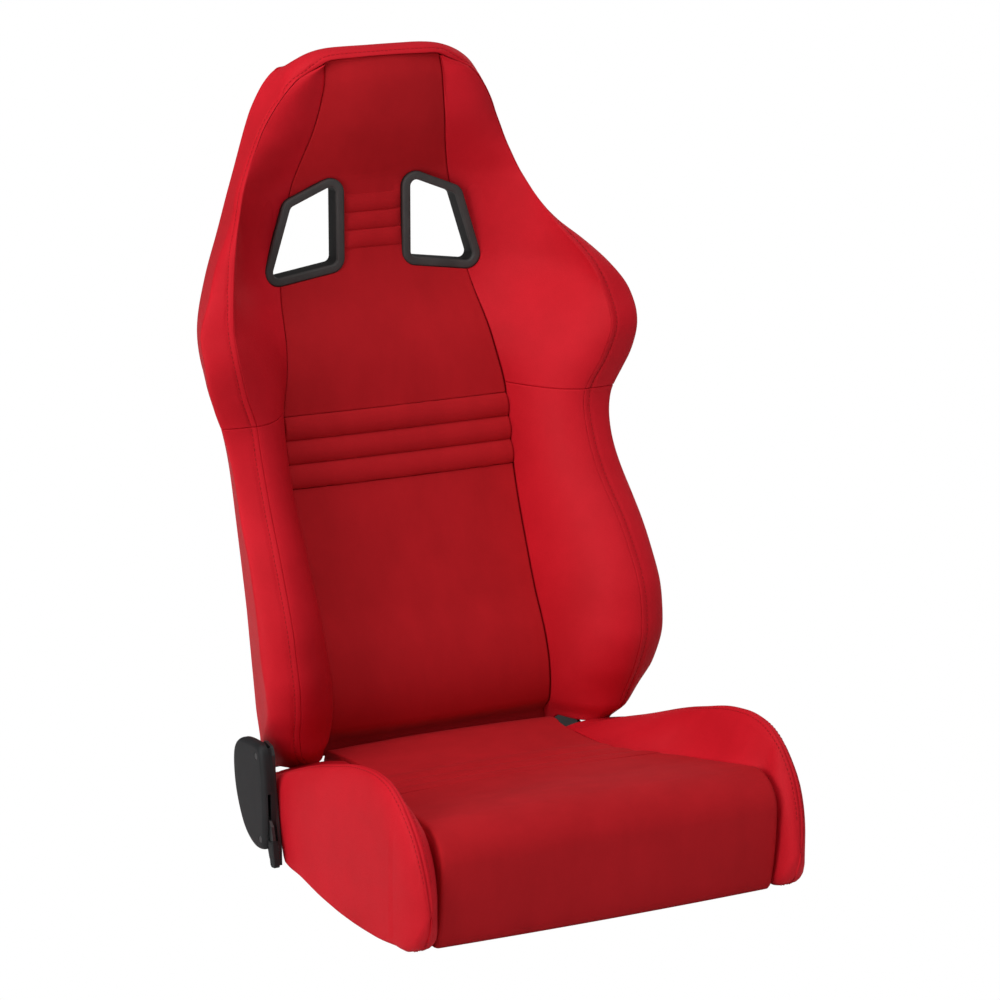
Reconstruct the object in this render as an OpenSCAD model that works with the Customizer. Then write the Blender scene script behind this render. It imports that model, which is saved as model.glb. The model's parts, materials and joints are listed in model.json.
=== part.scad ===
// Reclining sport seat: sewn cushion and backrest on a steel frame, with a lever recliner.
// Millimetres. +X is the seat's left-to-right, -Y is the way it faces, +Z is up.
// The origin is the centre of the four rail bolts, on the rails' underside.

/* [Backrest] */
// Height of the top of the headrest above the rails
seat_top = 920; // [900:2:940]
// Height of the lower edge of the backrest pads
back_base = 106; // [104:1:110]
// Height of the cross seam between bolster and shoulder wing
waist = 500; // [490:2:510]
// Height of the widest point of the shoulder wings
wing_mid = 592; // [584:2:600]
// Width over the lower backrest bolsters
rib_w = 544; // [530:2:556]
// Width over the waist
waist_w = 516; // [508:2:526]
// Width over the shoulder wings
shoulder_w = 576; // [560:2:590]
// Width of the headrest at its temples
temple_w = 350; // [336:2:364]
// Width of the middle panel of the backrest
panel_w = 300; // [292:2:308]
// How far the lower bolsters stand in front of the middle panel
bolster_depth = 118; // [100:2:126]
// How far the shoulder wings stand in front of the middle panel
wing_depth = 126; // [112:2:134]
// Foam thickness behind the middle panel
back_foam = 34; // [30:1:35]
// Foam thickness between the belt slots
neck_foam = 6; // [5:0.5:6.5]
// Gap left at every seam between two panels
seam = 0.5; // [0.4:0.1:0.8]

/* [Sewn channels] */
// Height of the top sewn line of the waist channels
channel_top = 487; // [480:1:494]
// Distance between the waist channel lines
channel_pitch = 28.5; // [26:0.5:30]
// Number of waist channels
channel_count = 3; // [2:1:4]
// How far a channel stands out between its lines
channel_puff = 6; // [3:0.5:8]
// Height of the top sewn line between the belt slots
neck_top = 738; // [734:1:742]
// Distance between the sewn lines of the neck
neck_pitch = 22; // [20:0.5:24]
// Distance between the sewn lines of the cushion
cushion_pitch = 24; // [22:0.5:26]

/* [Belt slots] */
// Flange width round each belt slot
slot_flange = 10; // [8:0.5:12]
// Corner radius of the slot flange
slot_corner = 19; // [16:0.5:22]
// Wall of the slot tunnel
slot_wall = 2.5; // [2:0.25:3]

/* [Cushion] */
// Width over the cushion bolsters
cushion_w = 524; // [516:2:530]
// Front of the cushion, ahead of the bolt centre
cushion_front = 262; // [256:1:268]
// Rear end of the middle cushion pad
cushion_rear = 194; // [188:1:195]
// Height of the thigh roll at the front
thigh_top = 143; // [138:1:150]
// Height of the seating surface at the back
seat_rear_top = 104; // [100:1:106]
// Crest height of the cushion bolsters
bolster_top = 188; // [180:1:196]
// Underside of the cushion foam
foam_base = 74; // [73:0.5:77]

/* [Frame] */
// Bolt spacing across the rails
mount_x = 340; // [334:2:342]
// Bolt spacing along the rails
mount_y = 290; // [270:5:300]
// Width of a rail
rail_w = 20; // [18:1:22]
// Height of a rail
rail_h = 30; // [26:1:32]
// Wall of a rail
rail_wall = 2.5; // [2:0.25:3]
// Length of a rail
rail_len = 372; // [360:2:376]
// Radius of the mounting threads
mount_r = 4; // [3:0.5:5]
// Diameter of the cushion cross tubes
cross_d = 25; // [22:0.5:26]
// Diameter of the backrest tubes
back_tube_d = 22; // [18:0.5:22]
// Sheet thickness of the bolster pans
pan_t = 3; // [2:0.25:3.5]
// Wire of the sinuous springs
wire = 3.4; // [2.8:0.2:3.6]

/* [Recliner] */
// Distance of the recline pivot behind the bolt centre
pivot_y = 128; // [126:1:130]
// Height of the recline pivot
pivot_z = 72; // [70:1:74]
// Diameter of the pivot bolt
pivot_d = 12; // [10:0.5:14]
// Thickness of the steel bracket plates
plate = 4; // [3:0.25:4.5]
// Distance of the release shaft behind the bolt centre
shaft_y = 95; // [94:0.5:96]
// Height of the release shaft
shaft_z = 59; // [58:0.5:60]
// Diameter of the release shaft
shaft_d = 8; // [7:0.5:9]
// Radius of the sector's tooth tips
sector_r = 27; // [25:0.5:27.5]
// Width of the recliner cover
cover_w = 20; // [19.5:0.5:21]
// Wall of the recliner cover
cover_wall = 2.5; // [2:0.25:3]

/* [Hidden] */
$fn = 48;

leather = [0.70, 0.06, 0.09];
suede = [0.58, 0.06, 0.08];
black_plastic = [0.09, 0.09, 0.09];
black_steel = [0.13, 0.13, 0.14];
zinc = [0.62, 0.62, 0.63];
spring_steel = [0.30, 0.30, 0.31];

// ---- curves -------------------------------------------------------------
function span(t, p, i = 0) = (i >= len(p) - 2 || t < p[i + 1][0]) ? i : span(t, p, i + 1);
function rate(p, i) =
    let (a = max(i - 1, 0), b = min(i + 1, len(p) - 1)) (p[b][1] - p[a][1]) / (p[b][0] - p[a][0]);
// Smooth curve through [position, value] points, level beyond the ends
function through(p, t) =
    let (i = span(t, p), h = p[i + 1][0] - p[i][0], u = min(1, max(0, (t - p[i][0]) / h)))
    (2 * u * u * u - 3 * u * u + 1) * p[i][1] + (u * u * u - 2 * u * u + u) * h * rate(p, i)
    + (3 * u * u - 2 * u * u * u) * p[i + 1][1] + (u * u * u - u * u) * h * rate(p, i + 1);
function bezier(a, b, c, d, t) =
    pow(1 - t, 3) * a + 3 * pow(1 - t, 2) * t * b + 3 * (1 - t) * t * t * c + t * t * t * d;
function unit(v) = v / norm(v);
function steps(n) = [for (i = [0:n]) i / n];
function reversed(p) = [for (i = [len(p) - 1:-1:0]) p[i]];
function flipped(p) = [for (q = reversed(p)) [-q[0], q[1], q[2]]];

// ---- lofted solids ------------------------------------------------------
// Two triangles for each cell of the grid; the first `lean` bands are split along the other diagonal
function cell(a, b, c, d, lean) = lean ? [[a, b, d], [b, c, d]] : [[a, b, c], [a, c, d]];
function loft_faces(m, n, lean) = concat(
    [for (i = [0:m - 2], j = [0:n - 1]) let (k = (j + 1) % n)
        each cell(i * n + j, (i + 1) * n + j, (i + 1) * n + k, i * n + k, i < lean)],
    [[for (j = [0:n - 1]) j]],
    [[for (j = [n - 1:-1:0]) (m - 1) * n + j]]
);
// Twice the area of a ring seen against the direction of the loft, to find which way it winds
function wound(ring, axis) =
    let (n = len(ring), part = [for (j = [0:n - 1]) cross(ring[j], ring[(j + 1) % n]) * axis])
    part * [for (j = [0:n - 1]) 1];
module loft(rings, axis = [0, 0, 1], lean = 0) {
    turned = wound(rings[0], axis) > 0 ? rings : [for (r = rings) reversed(r)];
    polyhedron(points = [for (r = turned) each r], faces = loft_faces(len(rings), len(rings[0]), lean),
        convexity = 8);
}
module mirrored(side) {
    if (side < 0) mirror([1, 0, 0]) children();
    else children();
}
// Plate drawn in (y, z) and extruded from x0 to x1
module along_x(x0, x1) { translate([x0, 0, 0]) rotate([90, 0, 90]) linear_extrude(x1 - x0) children(); }
// Shape drawn in (x, z) and extruded from y0 to y1
module along_y(y0, y1) { translate([0, y1, 0]) rotate([90, 0, 0]) linear_extrude(y1 - y0) children(); }
module rod_x(x0, x1, y, z, d) { translate([x0, y, z]) rotate([0, 90, 0]) cylinder(d = d, h = x1 - x0); }
module rod(a, b, d) {
    v = b - a;
    translate(a) rotate([0, acos(v[2] / norm(v)), atan2(v[1], v[0])]) cylinder(d = d, h = norm(v));
}
// Tube of diameter d swept along p, with its first side turned towards ref
function tube_ring(p, i, d, ref, sides) =
    let (n = len(p) - 1, t = unit(p[min(i + 1, n)] - p[max(i - 1, 0)]), u = unit(cross(t, ref)),
        w = cross(u, t))
    [for (k = [0:sides - 1]) p[i] + d / 2 * (cos(360 * k / sides) * u + sin(360 * k / sides) * w)];
module bent_tube(p, d, ref, sides = 16) {
    loft([for (i = [0:len(p) - 1]) tube_ring(p, i, d, ref, sides)], p[1] - p[0]);
}

// ---- backrest shape -----------------------------------------------------
// Front of the middle panel: a lumbar roll, a lean of about 15 degrees, a flat at the belt slots
// and a headrest that comes forward again
back_front = [[88, 206], [106, 203], [125, 184], [165, 178], [210, 191], [260, 220], [330, 257], [400, 285],
    [460, 299], [530, 309], [570, 323], [620, 354], [660, 368], [750, 372], [785, 361], [830, 342],
    [880, 332], [910, 336]];
function panel_y(z) = through(back_front, z);
// Half width of the middle panel, at its seam
function panel_x(z) = through([[106, panel_w / 2 - 5], [165, panel_w / 2 - 6], [250, panel_w / 2 - 4],
    [330, panel_w / 2], [487, panel_w / 2], [543, panel_w / 2 - 10], [634, panel_w / 2 - 24],
    [700, panel_w / 2 - 35], [750, panel_w / 2 - 44], [809, panel_w / 2 - 59], [862, panel_w / 2 - 69],
    [910, panel_w / 2 - 74]], z);
// Crest seam of the bolsters, wings and headrest: half width
function crest_x(z) = through([[106, rib_w / 2 - 88], [112, rib_w / 2 - 76], [122, rib_w / 2 - 64],
    [144, rib_w / 2 - 56], [180, rib_w / 2 - 50], [230, rib_w / 2 - 44], [283, rib_w / 2 - 43],
    [346, rib_w / 2 - 47], [waist - 94, waist_w / 2 - 40], [waist - 40, waist_w / 2 - 42],
    [waist, waist_w / 2 - 39], [542, shoulder_w / 2 - 52], [wing_mid, shoulder_w / 2 - 41],
    [650, shoulder_w / 2 - 51], [700, shoulder_w / 2 - 77], [746, temple_w / 2 + 14], [784, temple_w / 2 - 2],
    [833, temple_w / 2 - 22], [860, temple_w / 2 - 36], [879, temple_w / 2 - 50], [893, temple_w / 2 - 66],
    [901, temple_w / 2 - 86], [908, temple_w / 2 - 103]], z);
// How far the crest seam stands in front of the middle panel
function crest_lift(z) = through([[106, bolster_depth - 55], [144, bolster_depth - 56],
    [180, bolster_depth - 38],
    [230, bolster_depth - 9], [283, bolster_depth + 10], [346, bolster_depth + 4], [406, bolster_depth - 21],
    [460, bolster_depth - 37], [500, wing_depth - 46], [542, wing_depth - 27], [580, wing_depth - 6],
    [603, wing_depth], [650, wing_depth - 5], [699, wing_depth - 50], [746, wing_depth - 83],
    [784, wing_depth - 105], [809, wing_depth - 117], [833, wing_depth - 125], [908, wing_depth - 121]], z);
function crest_y(z) = panel_y(z) - crest_lift(z);
// Widest point of the side panel: half width, and distance behind the crest
function side_x(z) = through([[106, rib_w / 2 - 50], [112, rib_w / 2 - 45], [122, rib_w / 2 - 38],
    [135, rib_w / 2 - 31], [150, rib_w / 2 - 24], [180, rib_w / 2 - 15], [225, rib_w / 2 - 7],
    [270, rib_w / 2 - 5], [325, rib_w / 2 - 9], [380, rib_w / 2 - 15], [440, waist_w / 2 - 6],
    [490, waist_w / 2], [520, shoulder_w / 2 - 18], [550, shoulder_w / 2 - 7], [wing_mid, shoulder_w / 2 - 1],
    [620, shoulder_w / 2 - 5], [650, shoulder_w / 2 - 23], [675, shoulder_w / 2 - 43],
    [700, shoulder_w / 2 - 68], [725, temple_w / 2 + 27], [750, temple_w / 2 + 16], [775, temple_w / 2 + 5],
    [800, temple_w / 2 - 6], [825, temple_w / 2 - 16], [852, temple_w / 2 - 28], [875, temple_w / 2 - 42],
    [893, temple_w / 2 - 55], [908, temple_w / 2 - 78]], z);
function side_back(z) = through([[106, 56], [120, 48], [150, 30], [180, 19], [270, 18], [380, 9],
    [500, 7], [592, 9], [640, 7], [700, 17], [750, 13], [800, 13], [852, 11], [893, 17], [908, 21]], z);
// Rear edge where the side panel meets the back panel
function rear_x(z) = through([[106, rib_w / 2 - 72], [130, rib_w / 2 - 64], [180, rib_w / 2 - 62],
    [270, rib_w / 2 - 66], [380, rib_w / 2 - 70], [440, waist_w / 2 - 54], [500, waist_w / 2 - 44],
    [550, shoulder_w / 2 - 62], [wing_mid, shoulder_w / 2 - 61], [650, shoulder_w / 2 - 75],
    [700, shoulder_w / 2 - 91], [750, temple_w / 2 + 7], [800, temple_w / 2 - 9], [852, temple_w / 2 - 27],
    [875, temple_w / 2 - 39], [893, temple_w / 2 - 53], [908, temple_w / 2 - 71]], z);
function rear_y(z) = through([[106, 262], [165, 266], [250, 291], [380, 338], [500, 366], [590, 382],
    [640, 388],
    [700, 390], [775, 390], [820, 392], [870, 391], [908, 384]], z);
// Depth of foam behind the front skin
function foam(z) = through([[106, back_foam], [330, back_foam - 2], [400, back_foam - 5.5],
    [560, back_foam - 6], [600, back_foam - 12], [640, neck_foam + 4], [660, neck_foam], [765, neck_foam],
    [790, neck_foam + 8], [830, back_foam - 12], [908, back_foam - 10]], z);
// How far the wing's rear face comes forward towards its outer edge, which leaves room for the tube
function wing_hollow(z) = through([[480, 0], [592, 14], [650, 29], [700, 32], [750, 27], [765, 21.5],
    [800, 15], [850, 0], [908, 0]], z);
// Shape of the front face between panel seam and crest: how soon it runs out sideways and comes forward
function face_ctrl(z) = [through([[106, 0.16], [450, 0.16], [592, 0.35], [650, 0.5], [908, 0.4]], z),
    through([[106, 0.4], [450, 0.4], [592, 0.1], [650, -0.06], [760, -0.05], [908, 0.1]], z),
    through([[106, 0.52], [450, 0.52], [592, 0.72], [650, 0.88], [908, 0.8]], z),
    through([[106, 0.92], [450, 0.92], [592, 0.75], [650, 0.55], [908, 0.7]], z)];
wing_puff = 5;
function face_point(z, t) =
    let (k = face_ctrl(z), a = [panel_x(z), panel_y(z)], d = [crest_x(z), crest_y(z)] - a,
        q = bezier(a, a + [k[0] * d[0], k[1] * d[1]], a + [k[2] * d[0], k[3] * d[1]], a + d, t))
    [q[0], q[1] - wing_puff * sin(180 * t), z];
// Side panel: a quarter round from the crest to the widest point, then a taper to the rear edge
function side_point(z, t) =
    let (a = [crest_x(z), crest_y(z)], w = [side_x(z), crest_y(z) + side_back(z)], e = [rear_x(z), rear_y(z)],
        u = t / 0.375, v = (t - 0.375) / 0.625)
    u <= 1 ? [a[0] + (w[0] - a[0]) * sin(90 * u), w[1] - (w[1] - a[1]) * cos(90 * u), z]
    : let (q = bezier(w, w + [0, 0.03 * norm(e - w)], e + 0.3 * (w - e), e, v)) [q[0], q[1], z];
// Where the foam of bolster and side panel meet behind the crest
function root_x(z) =
    let (x = min(crest_x(z) - 14, rear_x(z) - 4)) z < waist ? max(plate_in + plate + 1, x) : x;
function root_y(z) = panel_y(z) + foam(z);

// Channels: 0 on a sewn line, 1 half way between two
function channel(s, top, pitch, count) =
    let (u = (top - s) / pitch) (u <= 0 || u >= count) ? 0 : sin(180 * (u - floor(u)));
function channel_stops(top, pitch, count) = [for (i = [4 * count:-1:0]) top - i * pitch / 4];
channel_base = channel_top - channel_pitch * channel_count;
neck_count = 3;
slot_inner_x = 38.5;
headrest_base = 772;

function mid_y(x, z) =
    panel_y(z) - channel_puff * channel(z, channel_top, channel_pitch, channel_count)
    - (abs(x) < slot_inner_x ? 0.6 * channel_puff * channel(z, neck_top, neck_pitch, neck_count) : 0);
mid_stops = [-1, -0.86, -0.6, -0.255, -0.25, 0, 0.25, 0.255, 0.6, 0.86, 1];
// Ring of the middle pad at height z: sewn edges drawn back, crown in between
function mid_ring(z, crown, pull = 0) =
    let (hx = panel_x(z) - seam / 2 - pull)
    concat([for (s = mid_stops) let (sewn = abs(s) == 1 ? 2 : 0)
        [s * hx, mid_y(s * hx, z) + sewn - crown * (1 - s * s) + pull, z]],
        [[hx, root_y(z) - seam, z], [-hx, root_y(z) - seam, z]]);

module mid_pad(stops, crown) {
    n = len(stops) - 1;
    loft([for (i = [0:n]) mid_ring(stops[i], crown, (i == 0 || i == n) ? 1.5 : 0)]);
}
lumbar_base = back_base - 18;
lumbar_stops = [lumbar_base, lumbar_base + 6, back_base, 116, 125, 140, 165, 190, 215, 245, 280, 320, 360,
    channel_base - 8, channel_base - seam];
upper_stops = concat([channel_top + seam, 495, 515, 535, 555, 575, 595, 615, 635, 655],
    channel_stops(neck_top, neck_pitch, neck_count),
    [neck_top + 12, headrest_base - 8, headrest_base - seam]);
headrest_stops = [headrest_base, headrest_base + 6, 790, 805, 820, 840, 860, 880, 895, 905];

// Belt slot outline in (x, z): a four-sided hole with round corners
slot_corners = [[38.5, 771], [38.5, 646], [154, 629], [119.5, 738]];
// Corner k of p moved in by d and rounded to radius r
function inset_corner(p, k, d) =
    let (n = len(p), a = p[(k + n - 1) % n], b = p[k], c = p[(k + 1) % n], u = unit(a - b), v = unit(c - b),
        half = acos(u * v) / 2) b + unit(u + v) * d / sin(half);
function inset(p, d) = [for (k = [0:len(p) - 1]) inset_corner(p, k, d)];
function rounded(p, r, m = 6) = [for (k = [0:len(p) - 1])
    let (n = len(p), a = p[(k + n - 1) % n], b = p[k], c = p[(k + 1) % n], u = unit(a - b), v = unit(c - b),
        half = acos(u * v) / 2, o = b + unit(u + v) * r / sin(half), s = b + u * r / tan(half),
        e = b + v * r / tan(half), a0 = atan2(s[1] - o[1], s[0] - o[0]), a1 = atan2(e[1] - o[1], e[0] - o[0]),
        turn = a1 - a0 > 180 ? a1 - a0 - 360 : a1 - a0 < -180 ? a1 - a0 + 360 : a1 - a0)
    for (i = [0:m]) o + r * [cos(a0 + turn * i / m), sin(a0 + turn * i / m)]];
function slot_outline(d) = rounded(inset(slot_corners, d), slot_corner - d);
slot_front = 362.5;
slot_flange_t = 8;
slot_rear = 386;

// Room for the bezels in the pads and the back panel
module slot_room() {
    along_y(slot_front - 60, slot_front + slot_flange_t + 0.3) polygon(slot_outline(-0.4));
    along_y(slot_front, slot_rear + 30) polygon(slot_outline(slot_flange - slot_wall - 0.4));
}
module both_slots() {
    slot_room();
    mirror([1, 0, 0]) slot_room();
}

module lumbar_pad() { color(suede) mid_pad(lumbar_stops, 4); }
module waist_channel_pad() {
    color(suede) loft([for (z = channel_stops(channel_top, channel_pitch, channel_count)) mid_ring(z, 3)]);
}
module upper_back_pad() {
    color(suede) difference() {
        mid_pad(upper_stops, 3);
        both_slots();
    }
}
module headrest_pad() { color(suede) mid_pad(headrest_stops, 7); }

// ---- bolsters, wings and side panels ------------------------------------
function bolster_ring(z, pull = 0) =
    let (c = [(panel_x(z) + crest_x(z)) / 2, (panel_y(z) + crest_y(z)) / 2 + 10])
    [for (q = concat([for (t = steps(7)) face_point(z, t)], [[root_x(z), root_y(z) - wing_hollow(z), z],
        [panel_x(z), root_y(z), z]]))
        let (s = 1 - pull / 60, x = c[0] + s * (q[0] - c[0]))
        [max(panel_x(z) + seam / 2, x), c[1] + s * (q[1] - c[1]), z]];
rear_gap = 5;                               // from the back panel's outer face to the side panels' rear
function side_ring(z, pull = 0) =
    let (c = [(side_x(z) + root_x(z)) / 2, (crest_y(z) + rear_y(z)) / 2], s = 1 - pull / 60)
    [for (q = concat([for (t = steps(8)) side_point(z, t) + [seam, 0, 0]],
        [[rear_x(z) + seam, rear_y(z) - rear_gap, z], [root_x(z) + seam, rear_y(z) - rear_gap, z],
         [root_x(z) + seam, root_y(z) - wing_hollow(z), z]]))
        [c[0] + s * (q[0] - c[0]), c[1] + s * (q[1] - c[1]), z]];
function pulled(i) = i == 0 ? 7 : i == 1 ? 2.5 : 0;
lower_stops = [back_base, back_base + 3, 116, 130, 150, 180, 215, 250, 285, 320, 355, 390, 425, 455, 480,
    waist - seam];
wing_stops = [waist + seam, 515, 530, 545, 560, 575, 590, 605, 625, 645, 665, 690, 715, 740, 765, 790, 815,
    840, 862, 879, 890, 898, 902];
wing_tip_pull = 7;                          // draws the wing's last ring in below the strip

module back_bolster(side) {
    color(leather) mirrored(side)
        loft([for (i = [0:len(lower_stops) - 1]) bolster_ring(lower_stops[i], pulled(i))]);
}
module back_side_panel(side) {
    n = len(lower_stops);
    color(leather) mirrored(side) loft([for (i = [0:n - 1]) side_ring(lower_stops[i], pulled(i))], lean = n);
}
module shoulder_wing(side) {
    color(leather) mirrored(side) difference() {
        loft([for (z = wing_stops) bolster_ring(z, z > side_end - 5 ? wing_tip_pull : 0)]);
        slot_room();
    }
}

// Boxing strip: from the waist up one side, over the headrest and down the other
top_crest_y = 329;
top_crest_z = 909;
top_out_y = 362;
top_draw = 7;                               // the curve passes this far below its control points
top_half = temple_w / 2 - 95;                // where the strip turns from the sides to the top
side_end = seat_top - 15;                   // height at which the strip's foam is measured
function top_ring(x, k) =
    let (m = 1 - k * k, cz = top_crest_z + 3 * m, tz = seat_top + top_draw - 5 + 5 * m,
        ry = rear_y(seat_top - 12) + 2 * m, rz = seat_top - 20 + 2 * m, a = [top_crest_y - 3 * m, cz],
        b = [top_out_y - 34, tz + 1],
        c = [top_out_y + 14, tz], e = [ry, rz])
    concat([for (t = steps(8)) let (q = bezier(a, a + 0.6 * (b - a), c, e, t)) [x, q[0], q[1]]],
        [[x, ry, rz - 6], [x, root_y(side_end) + 4, rz - 2], [x, root_y(side_end), cz - 2]]);
boxing_right = concat([for (z = wing_stops) if (z < side_end - 5) side_ring(z)],
    [for (k = [0.9, 0.6, 0.3]) top_ring(top_half * k, k)]);
module headrest_boxing() {
    color(leather) loft(concat(boxing_right, [top_ring(0, 0)],
        [for (r = reversed(boxing_right)) [for (q = r) [-q[0], q[1], q[2]]]]), lean = len(boxing_right));
}

// Back panel: a thin crowned sheet that closes the rear
back_sheet = 3;
// Crown of the back panel: out at the waist and the head, in round the belt slots
function back_crown(z) = through([[106, 8], [540, 8], [620, -7.5], [790, -7.5], [850, 3], [908, 5]], z);
function sheet_y(x, z) = rear_y(z) + back_crown(z) * (1 - pow(abs(x / rear_x(z)), 4));
back_panel_stops = [back_base + 4, 130, 160, 200, 250, 300, 350, 400, 450, 500, 540, 565, 590, 620, 640, 680,
    730, 775, 800, 825, 850, 880, 897];
back_panel_cols = [-1, -0.88, -0.7, -0.4, 0, 0.4, 0.7, 0.88, 1];
module back_panel() {
    color(leather) difference() {
        loft([for (z = back_panel_stops) let (hx = rear_x(z) - seam)
            concat([for (s = back_panel_cols) [s * hx, sheet_y(s * hx, z) - back_sheet, z]],
                [for (s = reversed(back_panel_cols)) [s * hx, sheet_y(s * hx, z), z]])]);
        both_slots();
    }
}

// Belt slot trims: the front piece has the tunnel, the rear piece closes on it
module slot_bezel(side) {
    color(black_plastic) mirrored(side) difference() {
        union() {
            along_y(slot_front, slot_front + slot_flange_t) polygon(slot_outline(0));
            along_y(slot_front, slot_rear) polygon(slot_outline(slot_flange - slot_wall));
        }
        along_y(slot_front - 1, slot_rear + 20) polygon(slot_outline(slot_flange));
    }
}
module slot_rear_bezel(side) {
    color(black_plastic) mirrored(side) difference() {
        along_y(slot_rear - 1.8, slot_rear + 1.7) polygon(slot_outline(0));
        along_y(slot_front - 1, slot_rear + 20) polygon(slot_outline(slot_flange - slot_wall - 0.2));
    }
}

// ---- backrest frame -----------------------------------------------------
tube_x = 173;
tube_gap = 3;                               // from the back panel to the tubes
function tube_y(z) = rear_y(z) + min(0, back_crown(z) / 4) - back_sheet - tube_gap - back_tube_d / 2;
bow_base = 500;
bow_d = back_tube_d - 2;
function bow_x(z) = through([[bow_base, tube_x], [bow_base + 12, tube_x], [560, shoulder_w / 2 - 108],
    [wing_mid, shoulder_w / 2 - 96], [650, shoulder_w / 2 - 96], [700, shoulder_w / 2 - 110],
    [750, temple_w / 2 - 17], [800, temple_w / 2 - 37], [845, temple_w / 2 - 67], [866, temple_w / 2 - 95],
    [872, temple_w / 2 - 125]], z);
side_tube_stops = [128, 165, 200, 250, 300, 380, 440, bow_base];
module back_side_tube(side) {
    color(black_steel) mirrored(side)
        bent_tube([for (z = side_tube_stops) [tube_x, tube_y(z), z]], back_tube_d, [1, 0, 0]);
}
bow_stops = [bow_base + 0.5, bow_base + 11, 535, 560, 592, 620, 650, 675, 700, 725, 750, 775, 800, 822, 840,
    855, 866, 872];
module headrest_bow() {
    half = [for (z = bow_stops) [bow_x(z), tube_y(z), z]];
    color(black_steel) bent_tube(concat(half, flipped(half)), bow_d, [0, 1, 0]);
}
cross_z = 190;
module back_cross_tube() {
    reach = tube_x - back_tube_d / 2;
    color(black_steel) rod_x(-reach, reach, tube_y(cross_z), cross_z, back_tube_d - 4);
}
shoulder_z = 560;
module shoulder_cross_tube() {
    reach = bow_x(shoulder_z - back_tube_d / 2) - bow_d / 2;
    color(black_steel) rod_x(-reach, reach, tube_y(shoulder_z), shoulder_z, back_tube_d - 6);
}
// Flat zigzag spring along +X from 0 to len, drawn in (x, y)
module zigzag(len, wave, amp) {
    n = floor(len / wave);
    for (i = [0:2 * n - 1]) translate([(i + 0.5) * wave / 2, 0]) square([wire, 2 * amp], center = true);
    for (i = [0:2 * n]) translate([i * wave / 2, i % 2 == 0 ? -amp : amp])
        square([wave / 2 + wire, wire], center = true);
}
spring_wave = 24;
spring_amp = 9;
back_waves = 12;
module back_springs() {
    half = back_waves * spring_wave / 2;
    color(spring_steel) for (z = [230, 290, 350, 410]) {
        slope = atan((root_y(z + spring_amp) - root_y(z - spring_amp)) / (2 * spring_amp));
        y = root_y(z) + 1;
        translate([0, y, z]) rotate([-90 - slope, 0, 0]) linear_extrude(wire) translate([-half, 0])
            zigzag(back_waves * spring_wave, spring_wave, spring_amp);
        for (side = [-1, 1])
            rod([side * (half + spring_wave / 4), y + spring_amp * sin(slope) + wire / 2, z + spring_amp],
                [side * (tube_x - back_tube_d / 2 - 0.5), tube_y(z), z + spring_amp], wire);
    }
}

// ---- recliner -----------------------------------------------------------
pivot = [pivot_y, pivot_z];
shaft = [shaft_y, shaft_z];
play = 0.05;                                // running clearance on every pin and shaft
arm_out = cushion_w / 2 + 1.5;              // inner face of the lower bracket
arm_x = arm_out + plate + 0.4;              // inner face of the recline arm
stay = pivot + [35.5, 10];                    // stay that carries the arm's load to the side plate
stay_d = 14;
stay_r = 9;
arm_bolt_d = 8;
plate_in = tube_x + back_tube_d / 2;        // inner face of the side plate inside the backrest
foot_z = rail_h;                            // the bracket's foot lies on the rail
foot_x = mount_x / 2 - rail_w / 2;
foot_y = 98;
foot_len = 52;
bracket_bolt_d = 8;
bracket_bolt_y = [110, 138];
screw_d = 4;
cover_screws_at = [[96, 140], [86, 41]];
module at(p) { translate([p[0], p[1]]) children(); }

module back_side_plate(side) {
    color(black_steel) mirrored(side) difference() {
        along_x(plate_in, plate_in + plate) polygon([stay + [-7, -3], stay + [-4, -8], stay + [8, -11],
            [234, 78], [257, 98], [260, 150], [270, 208], [250, 214], [232, 170], [224, 130], [232, 116],
            [242, back_base - 2], [200, back_base - 6], stay + [8, 10], stay + [-3, 8], stay + [-7, 3]]);
        rod_x(plate_in - 1, plate_in + plate + 1, stay[0], stay[1], arm_bolt_d + 2 * play);
    }
}
module sector_teeth(r, depth, from, to, step) {
    for (a = [from:step:to]) at(pivot) rotate(a) polygon([[r - depth - 1, -1.3], [r, -0.4], [r, 0.4],
        [r - depth - 1, 1.3]]);
}
tooth_depth = 2.4;
module recline_arm(side, toothed) {
    reach = stay - pivot;
    color(black_steel) mirrored(side) difference() {
        union() {
            along_x(arm_x, arm_x + plate) {
                at(pivot) circle(r = sector_r - tooth_depth);
                if (toothed) sector_teeth(sector_r, tooth_depth, 216, 286, 5);
                at(pivot) rotate(atan2(reach[1], reach[0])) polygon([[0, -16], [norm(reach), -stay_r],
                    [norm(reach), stay_r], [0, 16]]);
                at(stay) circle(r = stay_r);
            }
            rod_x(plate_in + plate, arm_x, stay[0], stay[1], stay_d);
            rod_x(arm_x + plate, arm_x + plate + 7, pivot_y + 15.5, pivot_z + 15.5, 4);
        }
        rod_x(arm_x - 1, arm_x + plate + 1, pivot_y, pivot_z, pivot_d + 2 * play);
        rod_x(plate_in + plate - 1, plate_in + plate + 26, stay[0], stay[1], arm_bolt_d + 2 * play);
    }
}
module arm_bolt() {
    rod_x(plate_in - 6, plate_in, stay[0], stay[1], 13);
    rod_x(plate_in - 1, plate_in + plate + 24, stay[0], stay[1], arm_bolt_d);
}
module arm_bolts() {
    color(zinc) for (side = [-1, 1]) mirrored(side) arm_bolt();
}
bracket_round = [pivot + [24, -14], pivot + [28.5, 0], pivot + [25, 12], pivot + [14, 24], pivot + [-4, 28]];
bracket_horn = [[116, 116], [114, 146], [106, 154], [90, 152], [84, 142], [82, 108]];
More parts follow.
